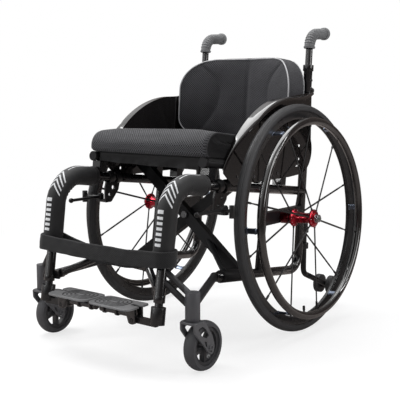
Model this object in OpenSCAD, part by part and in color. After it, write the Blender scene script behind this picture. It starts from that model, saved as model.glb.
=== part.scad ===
// Folding active wheelchair: cambered quick-release wheels, cross brace, flip-up footplates.
// Millimetres. +X is the user's left, +Y points backwards, +Z is up and the floor is Z = 0.
// Places are worked out from the rear axle line, and the whole is then centred over the origin.

/* [Frame] */
// Distance from the chair's middle to the side tubes
frame_half = 180; // [170:1:215]
// Outer diameter of the frame tubes
tube_d = 24; // [22:0.5:27]
// Wall thickness of the frame tubes
tube_wall = 2.4; // [1.8:0.1:3]
// Slope of the rails and the seat down towards the back, in degrees
frame_slope = 7; // [4:0.5:9]
// Height of the lower rail at the rear axle
rail_z = 147; // [140:1:160]
// Height of the upper tube at the rear axle
upper_z = 370; // [362:1:380]
// How far the lower rail reaches forward of the axle
rail_reach = 300; // [290:1:320]
// How far behind the axle the lower rail turns up
cane_foot = 96; // [85:1:110]
// Backward lean of the back canes, in degrees
cane_lean = 4.3; // [2:0.1:6]
// Height of the top of the back canes
cane_top = 704; // [680:1:760]
// How far the front legs reach forward of the axle at the foot clamp
leg_reach = 506; // [495:1:530]
// Forward lean of the front legs, in degrees
leg_lean = 8.5; // [5:0.5:11]
// Bend radius at the knees
knee_bend_r = 74; // [60:1:90]
// Bend radius at the back of the lower rail
rear_bend_r = 42; // [30:1:55]

/* [Seat and brace] */
// Height of the seat rails at the rear axle
seat_rail_z = 423; // [415:1:440]
// Outer diameter of the seat rails
seat_rail_d = 22; // [18:0.5:25]
// How far the seat rails reach forward of the axle
seat_reach = 345; // [330:1:370]
// How far the seat rails reach behind the axle
seat_back = 58; // [40:1:70]
// How far forward of the axle the cross brace stands
brace_reach = 180; // [165:1:190]
// Height of a brace bar's section
brace_h = 30; // [24:1:34]
// Thickness of a brace bar
brace_t = 22; // [16:1:26]
// Diameter of the bolt at the crossing
brace_bolt_d = 10; // [8:0.5:12]

/* [Rear wheels] */
// Diameter over the tyre
wheel_d = 600; // [570:1:615]
// Width of the tyre
tyre_w = 26; // [22:1:32]
// Camber of the wheels, in degrees
camber = 3; // [1:0.5:5]
// Distance from the side tube to the wheel's middle at the axle
wheel_offset = 66; // [60:1:80]
// Radial depth of the rim
rim_depth = 22; // [16:1:28]
// Width of the rim at the tyre
rim_w = 20; // [16:1:22]
// How far the handrim's tube lies inside the rim's inner edge
handrim_in = 5.8; // [3:0.1:12]
// Diameter of the handrim tube
handrim_tube = 20; // [16:0.5:24]
// Distance from the wheel's middle out to the handrim
handrim_out = 40; // [34:1:50]
// Spokes in a wheel
spoke_count = 12; // [8:2:20]
// Diameter of a spoke
spoke_d = 3.6; // [2:0.1:5]
// Diameter of the quick-release axle
axle_d = 12.7; // [10:0.1:14]
// Diameter of the hub barrel
hub_d = 30; // [28:1:36]
// Diameter of the hub flanges
flange_d = 47; // [42:1:56]

/* [Casters] */
// Diameter of the caster tyre
caster_d = 116; // [100:1:118]
// Width of the caster tyre
caster_w = 30; // [20:1:34]
// Trail of the caster wheel behind its stem
caster_trail = 38; // [34:1:42]
// How far the caster stems reach forward of the axle
stem_reach = 466; // [455:1:475]
// Distance from the side tube out to the caster stem
stem_offset = 65; // [60:1:75]
// Diameter of the caster housing
housing_d = 34; // [30:1:40]
// Height of the caster housing
housing_h = 65; // [50:1:80]

/* [Footrest] */
// Height of the footplate's top
plate_z = 149; // [145:1:152]
// Thickness of a footplate
plate_t = 6; // [4:0.5:7]
// Depth of a footplate in front of its bar
plate_front = 46; // [38:1:60]
// Depth of a footplate behind its bar
plate_back = 30; // [24:1:34]
// Height of the footplate's hinge
foot_hinge_z = 116; // [115:1:120]
// Distance from the side tube in to the footplate's hinge
foot_hinge_in = 64; // [62:1:70]
// Diameter of the foot clamp
clamp_d = 34; // [30:1:36]

/* [Soft parts] */
// Clearance from the seat cushion to each side guard
cushion_clear = 2.3; // [1:0.1:15]
// Length of the seat cushion
cushion_l = 430; // [400:1:440]
// Thickness of the seat cushion at its crown
cushion_t = 62; // [50:1:70]
// Clearance from the back cushion to each side guard
back_clear = 6.3; // [2:0.1:20]
// Height of the back cushion
back_h = 222; // [190:1:240]
// Thickness of the back cushion at its middle
back_t = 24; // [20:1:40]
// How far the wings of the back cushion come forward
wing_depth = 72; // [40:1:80]
// Outer diameter of the leg sleeves
sleeve_d = 50; // [44:1:54]
// Height of the calf strap
strap_h = 38; // [30:1:45]

/* [Handles and guards] */
// Distance from the cane's top to the grip
handle_show = 46; // [44:1:60]
// Outer diameter of a grip
grip_d = 30; // [27:1:34]
// Bend radius of a push handle
handle_bend_r = 38; // [34:1:45]
// Straight length of a grip behind its bend
grip_l = 52; // [40:1:60]
// Clearance from the tyre to the side guard's arc
guard_gap = 18; // [14:1:24]
// Width of the side guard's lip
lip_w = 30; // [20:1:34]
// Thickness of the side guards
guard_t = 3; // [2:0.5:4]

/* [Anti-tip] */
// Diameter of the anti-tip wheels
tip_wheel_d = 54; // [46:1:60]
// Height of the anti-tip axle
tip_z = 62; // [55:1:70]
// How far behind the rear axle the anti-tip wheels stand
tip_back = 262; // [245:1:270]

/* [Hidden] */
$fn = 48;
over = 1;               // overrun of every cut, and overlap of a tube's stretches
bend_thin = 0.15;       // how much a drawn tube's radius shrinks in a bend
run_gap = 0.05;         // radial clearance of a running fit
seat_gap = 0.3;         // clearance of faces that seat on or pass each other
slot_step = 0.2;        // how far a slot's round ends stand out from its sides

// Rails and canes, as lines in the side plane
slope_tan = tan(frame_slope);
lean_tan = tan(cane_lean);
leg_tan = tan(leg_lean);
tube_bore = tube_d - 2 * tube_wall;
inner_tube_d = tube_bore - 2 * run_gap;
clamp_top = 153;        // where leg_reach is measured
front_low = 163;        // lower end of the front tube
function rail_at(y) = rail_z - y * slope_tan;
function upper_at(y) = upper_z - y * slope_tan;
function leg_at(z) = (z - clamp_top) * leg_tan - leg_reach;
rear_corner = [cane_foot, rail_at(cane_foot)];
function cane_at(z) = rear_corner.x + (z - rear_corner.y) * lean_tan;
upper_end_y = (rear_corner.x + (upper_z - rear_corner.y) * lean_tan) / (1 + slope_tan * lean_tan);
knee_y = ((upper_z - clamp_top) * leg_tan - leg_reach) / (1 + slope_tan * leg_tan);
knee = [knee_y, upper_at(knee_y)];
main_path = [[-rail_reach, rail_at(-rail_reach)], rear_corner, [cane_at(cane_top), cane_top]];
front_path = [[upper_end_y, upper_at(upper_end_y)], knee, [leg_at(front_low), front_low]];
collar_wall = 2.5;
collar_h = 16;

// Seat-rail saddles on the upper tube: each has a bed and an inner lip
saddle_l = 26;
saddle_wall = 4;
saddle_lip_h = 12;
saddle_in = frame_half - seat_rail_d / 2 - seat_gap - saddle_wall;
saddle_spots = [-seat_reach + saddle_l, -brace_reach / 2, 0];

// Cross brace, in a frame whose Y runs along the lower rail and whose Z stands square to it
brace_seat_h = (seat_rail_z - rail_z) * cos(frame_slope);
brace_angle = atan2(brace_seat_h, 2 * frame_half);
brace_l = norm([2 * frame_half, brace_seat_h]);
// Y in that frame of a place at the height of the seat rails
function along_rail(y) = (y + brace_reach - brace_seat_h * sin(frame_slope)) / cos(frame_slope);
brace_gap = 1;
brace_mid = (brace_t + brace_gap) / 2;
sleeve_wall = 4;
front_sleeve = [-95, 24];
rear_sleeve = [-24, 62];
brace_leg_d = 14;
brace_leg_share = 0.3;
rail_cap_l = 9;
rail_cap_wall = 1.5;
rail_plug_l = 5;         // the cap's stem, inside the rail
seat_rail_wall = 2;
bolt_head_d = 18;
bolt_head_h = 6;
bar_end = 6;            // from a brace bar's longest edge to its seat rail's axis

// Rear wheels, about their own axle line
wheel_r = wheel_d / 2;
wheel_x = frame_half + wheel_offset;
tyre_mid_r = wheel_r - tyre_w / 2;
axle_z = tyre_mid_r * cos(camber) + tyre_w / 2;
tyre_seat_share = 0.2;
rim_bed_r = tyre_mid_r - tyre_w * tyre_seat_share;
rim_in_r = rim_bed_r - rim_depth;
rim_nose_share = 0.55;
handrim_r = rim_in_r - handrim_in;
tab_count = 6;
tab_d = 13;
tab_turn_share = 0.5;
tab_seat = 2;           // how far a tab is let into the rim's side
spoke_turn_share = 0.5;
spoke_seat = 5;         // how far a spoke goes into its flange and its rim
nipple_d = 6;
nipple_l = 16;
hub_in = -30;           // hub ends, outward from the wheel's middle
hub_out = 46;
flange_t = 6;
flange_in = -24;
flange_out = 34;
hub_bore_gap = 2;
hub_bore = axle_d + 2 * hub_bore_gap;
bearing_w = 8;
bearing_wall = 5;
bearing_d = axle_d + 2 * run_gap + 2 * bearing_wall;
axle_head_d = 20;
axle_head_h = 8;
button_d = 8;
button_travel = 4;
button_l = 7;           // what stands out at rest, and what is in the axle's head
receiver_d = 32;
receiver_in = 17;       // receiver's inner end, from the side tube
axle_tail = 5;

// Axle bracket
strut_d = 20;
strut_low_y = -104;
strut_high_y = -72;
beam_w = 18;
beam_h = 34;

// Casters
stem_x = frame_half + stem_offset;
stem_y = -stem_reach;
caster_r = caster_d / 2;
caster_axle_d = 8;
stem_d = 16;
crown_t = 6;
crown_d = 44;
crown_gap = 2;          // from the caster tyre's top to the crown
crown_z = caster_d + crown_gap;
housing_z = crown_z + crown_t + seat_gap;
housing_cap = 6;
fork_gap = 1.5;
fork_t = 5;
fork_end_d = 24;
fork_slot_d = 9;
fork_slot_shares = [0.3, 0.68];
caster_tread = 13;
caster_rim_t = 8;
caster_rim_share = 0.7;
caster_crown_r = 26;
caster_cap_d = 14;
caster_cap_h = 4;
caster_hub_d = 20;
caster_spokes = 5;
caster_spoke_w = 9;
link_d = 15;            // twin struts from the housing up to the front tube
link_high_z = 216;
link_low_zs = [150, 178];
link_rise = 24;         // spacing of the twin struts at the front tube
brace_tube_d = 20;

// Footrest
foot_bar_y = leg_at(foot_hinge_z);
foot_hinge_x = frame_half - foot_hinge_in;
clamp_low = 114;
foot_pin_d = 8;
knuckle_d = 18;
stub_w = 11;
stub_h = 15;
ear_t = 9;
ear_w = 18;
plate_middle_gap = 4.5;
plate_out = 16;
plate_corner = 14;
bar_tip_x = 30;
bar_start = 13;
rib_t = 3;
tread_h = 1;
tread_w = 4;
tread_pitch = 12;
tread_inset = 16;

// Front folding arms
arm_z = 178;
arm_in = 15;
arm_d = 18;
arm_pin_d = 8;
arm_barrel_d = 20;
arm_barrel_l = 18;
arm_lug_t = 7;
arm_pin_head_d = 14;
arm_pin_head_h = 3;
arm_lug_y = leg_at(arm_z) + tube_d / 2;
arm_y = arm_lug_y + seat_gap + arm_barrel_l / 2;
arm_root = 12;          // length of the flat root beside the barrel
arm_bend_x = 85;        // the bend, from the chair's middle, then back and up from the hinge
arm_bend_y = 49;
arm_bend_z = 41;
arm_eye_z = 46;
arm_eye_d = 28;
arm_eye_t = 9;
arm_bolt_d = 14;
arm_bolt_h = 5;

// Leg sleeve and calf strap
sleeve_rear_y = -343;
sleeve_low_z = 262;
strap_z = 262;
strap_t = 4;
strap_ease = 0.9;       // from a sleeve to the strap round it
strap_sag = 14;
strap_back_sag = 34;
strap_steps = 12;

// Brake
brake_y = -292;
brake_z = 351;
brake_out = 26;         // lever pivot, out from the side tube
brake_pin_d = 8;
brake_hub_d = 18;
brake_hub_h = 13;
brake_base_t = 6;
brake_plate_t = 12;
brake_plate_l = 56;
brake_rod_d = 8;
brake_lever_l = 108;
brake_tip_d = 13;
brake_cap_d = 14;
brake_cap_h = 3;
brake_shoe_d = 14;
brake_shoe_h = 30;
brake_free = 11;        // gap from the shoe to the tyre when the brake is off
brake_drop = brake_z - axle_z;
brake_shoe_x = wheel_x - brake_drop * sin(camber);
brake_shoe_y = -sqrt(wheel_r * wheel_r - brake_drop * brake_drop) - brake_free - brake_shoe_d / 2;

// Push handles and height knobs
handle_inside = 180;
handle_bare_step = 0.05;
handle_end_step = 0.15;
grip_end_d = 36;
grip_end_l = 14;
grip_wall = 4;
handle_rise = 6;
grip_tilt = 82;         // turn of the handle's bend, in degrees
knob_z = 634;
knob_d = 16;
knob_l = 12;
knob_screw_d = 6;
knob_stand = 2;

// Side guard
guard_x = frame_half + tube_d / 2 + seat_gap;
guard_r = wheel_r + guard_gap;
guard_rise = 34;        // from the upper tube at the axle to the guard's lower edge
guard_low = upper_z + guard_rise;
guard_top = axle_z + guard_r;
guard_top_rise = 12;
function guard_at(share) = guard_low + (guard_top - guard_low) * share;
lobe_y = 72;
lobe_z = guard_at(0.32);
lobe_r = 66;
slot_shares = [0.13, 0.21, 0.38];
slot_y = 64;
slot_l = 26;
slot_h = 7;
guard_hole_y = -226;
guard_hole_z = guard_at(0.095);
guard_hole_d = 9;
nose_low_y = -242;      // where the lower edge turns up at the front
nose_high_y = -290;
nose_high_z = guard_at(0.2);
lip_sweep = 63;         // arc of the lip forward of the top, in degrees
lip_past = 2;           // arc of the lip behind the top, where its straight stretch starts
lip_step = 0.3;         // how far the lip's straight stretch stands off its arc, up and in

// Soft parts
sling_t = 4;
sling_hem_h = 22;
sling_edge = 2;
cushion_front = 350;    // from the axle forward to the cushion's front, at the seat rails' height
cushion_w = 2 * (guard_x - cushion_clear);
cushion_side_share = 0.86;      // height of the sides, of the crown
cushion_nose_share = 0.34;      // height of the upright part of the front, of the crown
cushion_nose_power = 10;
cushion_pull_share = 0.01;
cushion_corner_share = 0.06;
cushion_waist_share = 0.05;
cushion_steps = 16;
swell_power = 6;
corner_power = 4;
back_z = 502;
back_w = 2 * (guard_x - back_clear);
back_edge_share = 0.45;
back_corner_share = 0.17;
back_groove = 4;        // crease down the middle
back_groove_w_share = 0.1;
wing_groove = 4;        // seam between the middle and a wing
wing_groove_share = 0.46;
wing_groove_w_share = 0.07;
back_steps = 20;
wing_power = 1.5;

// Anti-tip
tip_tube_d = 16;
tip_high = 262;
tip_turn_z = 118;
tip_bend_r = 24;
tip_gap = 4;
tip_y = cane_at(tip_high) + tube_d / 2 + tip_tube_d / 2 + tip_gap;
tip_axle_d = 8;
tip_wheel_w = 15;
tip_boss_d = 22;
tip_boss_l = 24;
tip_cap_d = 14;
tip_cap_h = 4;
tip_collar_d = 22;
lug_d = 26;
lug_h = 16;
lug_w = 16;
lug_zs = [190, 236];

// The whole is centred on its length
plate_front_y = foot_bar_y - plate_front;
shift_y = (-plate_front_y - wheel_r) / 2;

// Placing
module middle() translate([0, shift_y, 0]) children();
module left() middle() children();
module right() middle() mirror([1, 0, 0]) children();
module side_plane(x) translate([x, 0, 0]) rotate([90, 0, 90]) children();
module wheel_place() translate([wheel_x, 0, axle_z]) rotate([0, 90 - camber, 0]) children();
module brace_place()
    translate([0, -brace_reach, rail_at(-brace_reach)]) rotate([-frame_slope, 0, 0]) children();
module along_y(at, d, l) translate(at) rotate([-90, 0, 0]) cylinder(d = d, h = l);
module along_x(at, d, l) translate(at) rotate([0, 90, 0]) cylinder(d = d, h = l);

// A round bar from a to b
module rod(a, b, d) {
    v = b - a;
    translate(a) rotate([0, acos(v.z / norm(v)), atan2(v.y, v.x)]) cylinder(d = d, h = norm(v));
}

// A round bar along a flat path of [u, v] points, with a bend of radius r at each inner point
function unit(v) = v / norm(v);
function turn(a, b) = atan2(a.x * b.y - a.y * b.x, a * b);
function heading(path, i) = unit(path[i + 1] - path[i]);
function bend_turn(path, i) =
    i < 1 || i > len(path) - 2 ? 0 : turn(heading(path, i - 1), heading(path, i));
function trim(path, i, r) = r * tan(abs(bend_turn(path, i)) / 2);
module bent(path, r, d) {
    for (i = [0 : len(path) - 2]) {
        u = heading(path, i);
        a = path[i] + u * (trim(path, i, r) - (i > 0 ? over : 0));
        b = path[i + 1] - u * (trim(path, i + 1, r) - (i < len(path) - 2 ? over : 0));
        rod([a.x, a.y, 0], [b.x, b.y, 0], d);
    }
    for (i = [1 : 1 : len(path) - 2]) {
        u = heading(path, i - 1);
        s = bend_turn(path, i) > 0 ? 1 : -1;
        start = path[i] - u * trim(path, i, r);
        hub = start + s * r * [-u.y, u.x];
        from = atan2(start.y - hub.y, start.x - hub.x) + min(bend_turn(path, i), 0);
        translate([hub.x, hub.y, 0]) rotate([0, 0, from])
            rotate_extrude(angle = abs(bend_turn(path, i)))
                translate([r, 0]) circle(d = d - 2 * bend_thin);
    }
}

// The same path, longer by a at its start and by b at its end
function longer(p, a, b) = [p[0] - heading(p, 0) * a, p[1], p[2] + heading(p, 1) * b];

// Frame tubes
module main_bar(d, e = 0) side_plane(frame_half) bent(longer(main_path, e, e), rear_bend_r, d);
module front_bar(d, e = 0) side_plane(frame_half) bent(longer(front_path, e, e), knee_bend_r, d);
module leg_bar(z0, z1, d) rod([frame_half, leg_at(z0), z0], [frame_half, leg_at(z1), z1], d);
module cane_bar(z0, z1, d) rod([frame_half, cane_at(z0), z0], [frame_half, cane_at(z1), z1], d);

module main_tube() color("#15161a") difference() {
    union() {
        main_bar(tube_d);
        cane_bar(cane_top - collar_h, cane_top, tube_d + 2 * collar_wall);
    }
    main_bar(tube_bore, over);
    along_y([frame_half, cane_at(knob_z), knob_z], knob_screw_d + 2 * run_gap, tube_d);
}

module saddle(y) brace_place() {
    low = (upper_z - rail_z) * cos(frame_slope) + tube_d / 2 + seat_gap;
    bed = brace_seat_h - seat_rail_d / 2 - seat_gap;
    translate([saddle_in, along_rail(y) - saddle_l / 2, low]) difference() {
        cube([saddle_wall + seat_rail_d + 2 * seat_gap, saddle_l, bed + saddle_lip_h - low]);
        translate([saddle_wall, -over, bed - low])
            cube([seat_rail_d + saddle_wall, saddle_l + 2 * over, saddle_lip_h + over]);
    }
}

module arm_lug() {
    translate([frame_half - arm_in - arm_barrel_d / 2, arm_lug_y - arm_lug_t, arm_z - arm_barrel_d / 2])
        cube([arm_in + arm_barrel_d / 2, arm_lug_t, arm_barrel_d]);
    along_y([frame_half - arm_in, arm_lug_y - arm_lug_t, arm_z], arm_pin_d,
        arm_lug_t + arm_barrel_l + 2 * seat_gap + arm_pin_head_h);
    along_y([frame_half - arm_in, arm_lug_y + arm_barrel_l + 2 * seat_gap, arm_z],
        arm_pin_head_d, arm_pin_head_h);
}

module front_tube() color("#15161a") difference() {
    union() {
        front_bar(tube_d);
        for (y = saddle_spots) saddle(y);
        leg_bar(front_low, front_low + collar_h, tube_d + collar_wall);
        arm_lug();
    }
    front_bar(tube_bore, over);
    main_bar(tube_d);
}

// Axle bracket: strut between the rails, beam back to the cane and the cambered receiver
module axle_bracket() color("#1b1b20") difference() {
    strut_y = (strut_low_y + strut_high_y) / 2;
    union() {
        rod([frame_half, strut_low_y, rail_at(strut_low_y)],
            [frame_half, strut_high_y, upper_at(strut_high_y)], strut_d);
        translate([frame_half - beam_w / 2, strut_y, axle_z - beam_h / 2])
            cube([beam_w, cane_at(axle_z) - strut_y, beam_h]);
        wheel_place() translate([0, 0, -wheel_offset - receiver_in])
            cylinder(d = receiver_d, h = wheel_offset + receiver_in + hub_in - seat_gap);
    }
    main_bar(tube_d);
    front_bar(tube_d);
    wheel_place() translate([0, 0, -wheel_offset - receiver_in - over])
        cylinder(d = axle_d + 2 * run_gap, h = wheel_offset + receiver_in);
}

// Caster housing with its twin struts and the tube to the lower rail
module caster_housing() color("#2a2b30") difference() {
    union() {
        translate([stem_x, stem_y, housing_z]) cylinder(d = housing_d, h = housing_h);
        for (i = [0, 1])
            let (z = link_high_z + i * link_rise)
                rod([stem_x, stem_y, link_low_zs[i]], [frame_half, leg_at(z), z], link_d);
        rod([stem_x, stem_y, housing_z + housing_h / 2],
            [frame_half, -rail_reach, rail_at(-rail_reach)], brace_tube_d);
    }
    translate([stem_x, stem_y, housing_z - over])
        cylinder(d = stem_d + 2 * run_gap, h = housing_h - housing_cap + over);
    main_bar(tube_d);
    front_bar(tube_d);
}

// Footrest tube with the clamp, the stub bar and the hinge pin of the footplate
module footrest_tube() color("#101114") {
    leg_bar(clamp_low, sleeve_low_z, inner_tube_d);
    leg_bar(clamp_low, clamp_top, clamp_d);
    translate([foot_hinge_x, foot_bar_y - stub_w / 2, foot_hinge_z - stub_h / 2])
        cube([foot_hinge_in, stub_w, stub_h]);
    along_y([foot_hinge_x, foot_bar_y - stub_w / 2, foot_hinge_z], knuckle_d, stub_w);
    along_y([foot_hinge_x, foot_bar_y - stub_w / 2 - ear_t - seat_gap, foot_hinge_z], foot_pin_d,
        stub_w + 2 * ear_t + 2 * seat_gap);
}

module plate_outline(x0, x1, y0, y1, r) {
    translate([x0 + r, y0]) square([x1 - x0 - 2 * r, y1 - y0]);
    translate([x0, y0 + r]) square([x1 - x0, y1 - y0 - 2 * r]);
    for (x = [x0 + r, x1 - r], y = [y0 + r, y1 - r]) translate([x, y]) circle(r);
}

module footplate() color("#3a3b3f") difference() {
    x0 = plate_middle_gap;
    x1 = foot_hinge_x + plate_out;
    y0 = foot_bar_y - plate_front;
    y1 = foot_bar_y + plate_back;
    ear_y = stub_w / 2 + seat_gap;
    under = plate_z - plate_t;
    tread_rows = floor((y1 - y0 - 2 * tread_inset) / tread_pitch);
    union() {
        translate([0, 0, under]) linear_extrude(plate_t) plate_outline(x0, x1, y0, y1, plate_corner);
        for (i = [0 : tread_rows])
            translate([x0 + tread_inset, y0 + tread_inset + i * tread_pitch, plate_z])
                cube([x1 - x0 - 2 * tread_inset, tread_w, tread_h]);
        for (y = [foot_bar_y - ear_y - ear_t, foot_bar_y + ear_y]) {
            along_y([foot_hinge_x, y, foot_hinge_z], ear_w, ear_t);
            translate([foot_hinge_x - ear_w / 2, y, foot_hinge_z])
                cube([ear_w, ear_t, under - foot_hinge_z]);
        }
        translate([bar_tip_x, foot_bar_y - stub_w / 2, foot_hinge_z - stub_h / 2])
            cube([foot_hinge_x - bar_start - bar_tip_x, stub_w, under - foot_hinge_z + stub_h / 2]);
        for (y = [foot_bar_y - ear_y - ear_t, foot_bar_y + ear_y])
            translate([bar_tip_x, y, under - rib_t]) cube([foot_hinge_x - bar_tip_x, ear_t, rib_t]);
    }
    along_y([foot_hinge_x, foot_bar_y - plate_front, foot_hinge_z], foot_pin_d + 2 * run_gap,
        plate_front + plate_back);
    translate([foot_hinge_x - knuckle_d / 2 - seat_gap, foot_bar_y - ear_y, foot_hinge_z])
        cube([plate_out + knuckle_d, 2 * ear_y, plate_z]);
}

// A flat bar from a to b, both at one Y, of thickness t and height h
module flat_bar(a, b, t, h) {
    v = b - a;
    translate(a) rotate([0, -atan2(v.z, v.x), 0]) translate([0, -t / 2, -h / 2]) cube([norm(v), t, h]);
}

// Front folding arm; lap puts its eye in front of (-1) or behind (1) the other arm's eye
module front_arm(lap) color("#141418") difference() {
    hinge = [frame_half - arm_in, arm_y, arm_z];
    bend = [arm_bend_x, arm_y + arm_bend_y, arm_z + arm_bend_z];
    eye = [0, bend.y + lap * (arm_eye_t + seat_gap) / 2, arm_z + arm_eye_z];
    root = hinge + unit([bend.x - hinge.x, 0, bend.z - hinge.z]) * arm_root;
    union() {
        along_y(hinge - [0, arm_barrel_l / 2, 0], arm_barrel_d, arm_barrel_l);
        flat_bar(hinge, root, arm_barrel_l - 2 * over, arm_d - 2 * over);
        along_y(root - [0, (arm_barrel_l - over) / 2, 0], arm_d + over, arm_barrel_l - over);
        rod(root, bend, arm_d);
        along_y(bend - [0, arm_eye_t + over, 0], arm_d + over, 2 * (arm_eye_t + over));
        flat_bar([bend.x, eye.y, bend.z], eye, arm_eye_t - over, arm_d);
        along_y(eye - [0, arm_eye_t / 2, 0], arm_eye_d, arm_eye_t);
        along_y(eye + [0, lap < 0 ? -arm_eye_t / 2 - arm_bolt_h : arm_eye_t / 2 - over, 0],
            arm_bolt_d, arm_bolt_h + over);
    }
    along_y(hinge - [0, arm_barrel_l, 0], arm_pin_d + 2 * run_gap, 2 * arm_barrel_l);
}

// Padded sleeve round the knee
module leg_sleeve() color("#1d1d21") difference() {
    path = [[sleeve_rear_y, upper_at(sleeve_rear_y)], knee, [leg_at(sleeve_low_z), sleeve_low_z]];
    side_plane(frame_half) bent(path, knee_bend_r, sleeve_d);
    front_bar(tube_d + 2 * seat_gap);
}

// Casters, about their stems and their axles
module stem_place() translate([stem_x, stem_y, 0]) children();
module caster_place() stem_place() translate([0, caster_trail, caster_r]) rotate([0, 90, 0]) children();

// A flat slot with round ends, from a to b, whose ends are a little wider than its sides
module slot(a, b, d) {
    v = b - a;
    w = d - 2 * slot_step;
    translate(a) rotate(atan2(v.y, v.x)) translate([0, -w / 2]) square([norm(v), w]);
    for (p = [a, b]) translate(p) circle(d = d);
}

module fork_arm_outline() difference() {
    top = [0, crown_z + crown_t];
    low = [caster_trail, caster_r];
    half = [fork_end_d / 2, 0];
    union() {
        polygon([top - half, top + half, low + half, low - half]);
        translate(low) circle(d = fork_end_d);
    }
    slot(top + (low - top) * fork_slot_shares[0], top + (low - top) * fork_slot_shares[1], fork_slot_d);
}

module caster_fork() color("#26272b") stem_place() {
    arm_x = caster_w / 2 + fork_gap;
    bolt_l = arm_x + fork_t + caster_cap_h;
    stem_top = housing_z + housing_h - housing_cap - crown_gap;
    translate([0, 0, crown_z]) cylinder(d = crown_d, h = crown_t);
    translate([0, 0, crown_z]) cylinder(d = stem_d, h = stem_top - crown_z);
    for (x = [-arm_x - fork_t, arm_x]) side_plane(x) linear_extrude(fork_t) fork_arm_outline();
    along_x([-bolt_l, caster_trail, caster_r], caster_axle_d, 2 * bolt_l);
    for (x = [-bolt_l, bolt_l - caster_cap_h])
        along_x([x, caster_trail, caster_r], caster_cap_d, caster_cap_h);
}

module ring(d_out, d_in, h) difference() {
    cylinder(d = d_out, h = h, center = true);
    cylinder(d = d_in, h = h + over, center = true);
}

module caster_wheel() color("#303136") caster_place() {
    rim_d = caster_d - 2 * caster_tread;
    rim_l = caster_w * caster_rim_share;
    spoke_l = rim_l * caster_rim_share;
    hub_l = caster_w + 2 * (fork_gap - seat_gap);
    bore = caster_axle_d + 2 * run_gap;
    ring(rim_d, rim_d - 2 * caster_rim_t, rim_l);
    ring(caster_hub_d, bore, hub_l);
    difference() {
        for (i = [0 : caster_spokes - 1])
            rotate([0, 0, i * 360 / caster_spokes]) translate([0, -caster_spoke_w / 2, -spoke_l / 2])
                cube([(rim_d - caster_rim_t) / 2, caster_spoke_w, spoke_l]);
        cylinder(d = bore, h = hub_l, center = true);
    }
}

module caster_tyre() color("#202023") caster_place() rotate_extrude() intersection() {
    translate([caster_r - caster_tread, -caster_w / 2]) square([caster_tread, caster_w]);
    translate([caster_r - caster_crown_r, 0]) circle(caster_crown_r);
}

// Rear wheels, about their own axle line
module rear_tyre() color("#232327") wheel_place() rotate_extrude() difference() {
    translate([tyre_mid_r, 0]) circle(d = tyre_w);
    translate([0, -tyre_w]) square([rim_bed_r, 2 * tyre_w]);
}

module rear_rim() color("#17171a") wheel_place() {
    nose = rim_w * rim_nose_share;
    rotate_extrude() polygon([
        [rim_in_r, -nose / 2], [rim_bed_r, -rim_w / 2], [rim_bed_r, rim_w / 2], [rim_in_r, nose / 2]]);
}

module spokes() color("#18181b") wheel_place()
    for (i = [0 : spoke_count - 1]) {
        a = (i + spoke_turn_share) * 360 / spoke_count;
        way = [cos(a), sin(a), 0];
        flange_mid = [0, 0, (i % 2 == 0 ? flange_out : flange_in) + flange_t / 2];
        foot = way * (flange_d / 2 - spoke_seat) + flange_mid;
        head = way * (rim_in_r + spoke_seat);
        rod(foot, head, spoke_d);
        rod(head + unit(foot - head) * nipple_l, head, nipple_d);
    }

module hub() color("#b3162a") wheel_place() difference() {
    hub_l = hub_out - hub_in;
    union() {
        translate([0, 0, hub_in]) cylinder(d = hub_d, h = hub_l);
        for (z = [flange_in, flange_out]) translate([0, 0, z]) cylinder(d = flange_d, h = flange_t);
    }
    translate([0, 0, hub_in - over]) cylinder(d = hub_bore, h = hub_l + 2 * over);
    translate([0, 0, hub_in - over]) cylinder(d = bearing_d, h = bearing_w + over);
    translate([0, 0, hub_out - bearing_w]) cylinder(d = bearing_d, h = bearing_w + over);
}

module hub_bearings() color("#9a9da3") wheel_place()
    for (z = [hub_in + bearing_w / 2, hub_out - bearing_w / 2])
        translate([0, 0, z]) ring(bearing_d, axle_d + 2 * run_gap, bearing_w);

// Handrim: its ring, and the tabs between the ring and the rim
module handrim() color("#1a1a1d") wheel_place() {
    tab_r = (handrim_r + rim_bed_r - rim_depth / 2) / 2;
    tab_low = rim_w * rim_nose_share / 2 - tab_seat;
    tab_top = handrim_out - handrim_tube / 2 - seat_gap;
    translate([0, 0, handrim_out]) rotate_extrude() translate([handrim_r, 0]) circle(d = handrim_tube);
    for (i = [0 : tab_count - 1])
        rotate([0, 0, (i + tab_turn_share) * 360 / tab_count])
            translate([tab_r, 0, tab_low]) cylinder(d = tab_d, h = tab_top - tab_low);
}

module axle() color("#8f9298") wheel_place() difference() {
    start = -wheel_offset - receiver_in - axle_tail;
    face = hub_out + seat_gap;
    union() {
        translate([0, 0, start]) cylinder(d = axle_d, h = face - start);
        translate([0, 0, face]) cylinder(d = axle_head_d, h = axle_head_h);
    }
    translate([0, 0, face + axle_head_h - button_l - seat_gap])
        cylinder(d = button_d + 2 * run_gap, h = button_l + seat_gap + over);
}

module release_button() color("#8b8e8a") wheel_place()
    translate([0, 0, hub_out + seat_gap + axle_head_h - button_l + button_travel])
        cylinder(d = button_d, h = button_l);

// Side guard: a thin plate beside the seat with a lip over the tyre
guard_back = cane_at(guard_top);
guard_edge = guard_t / 2;       // the plate ends in the middle of its lip

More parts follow.
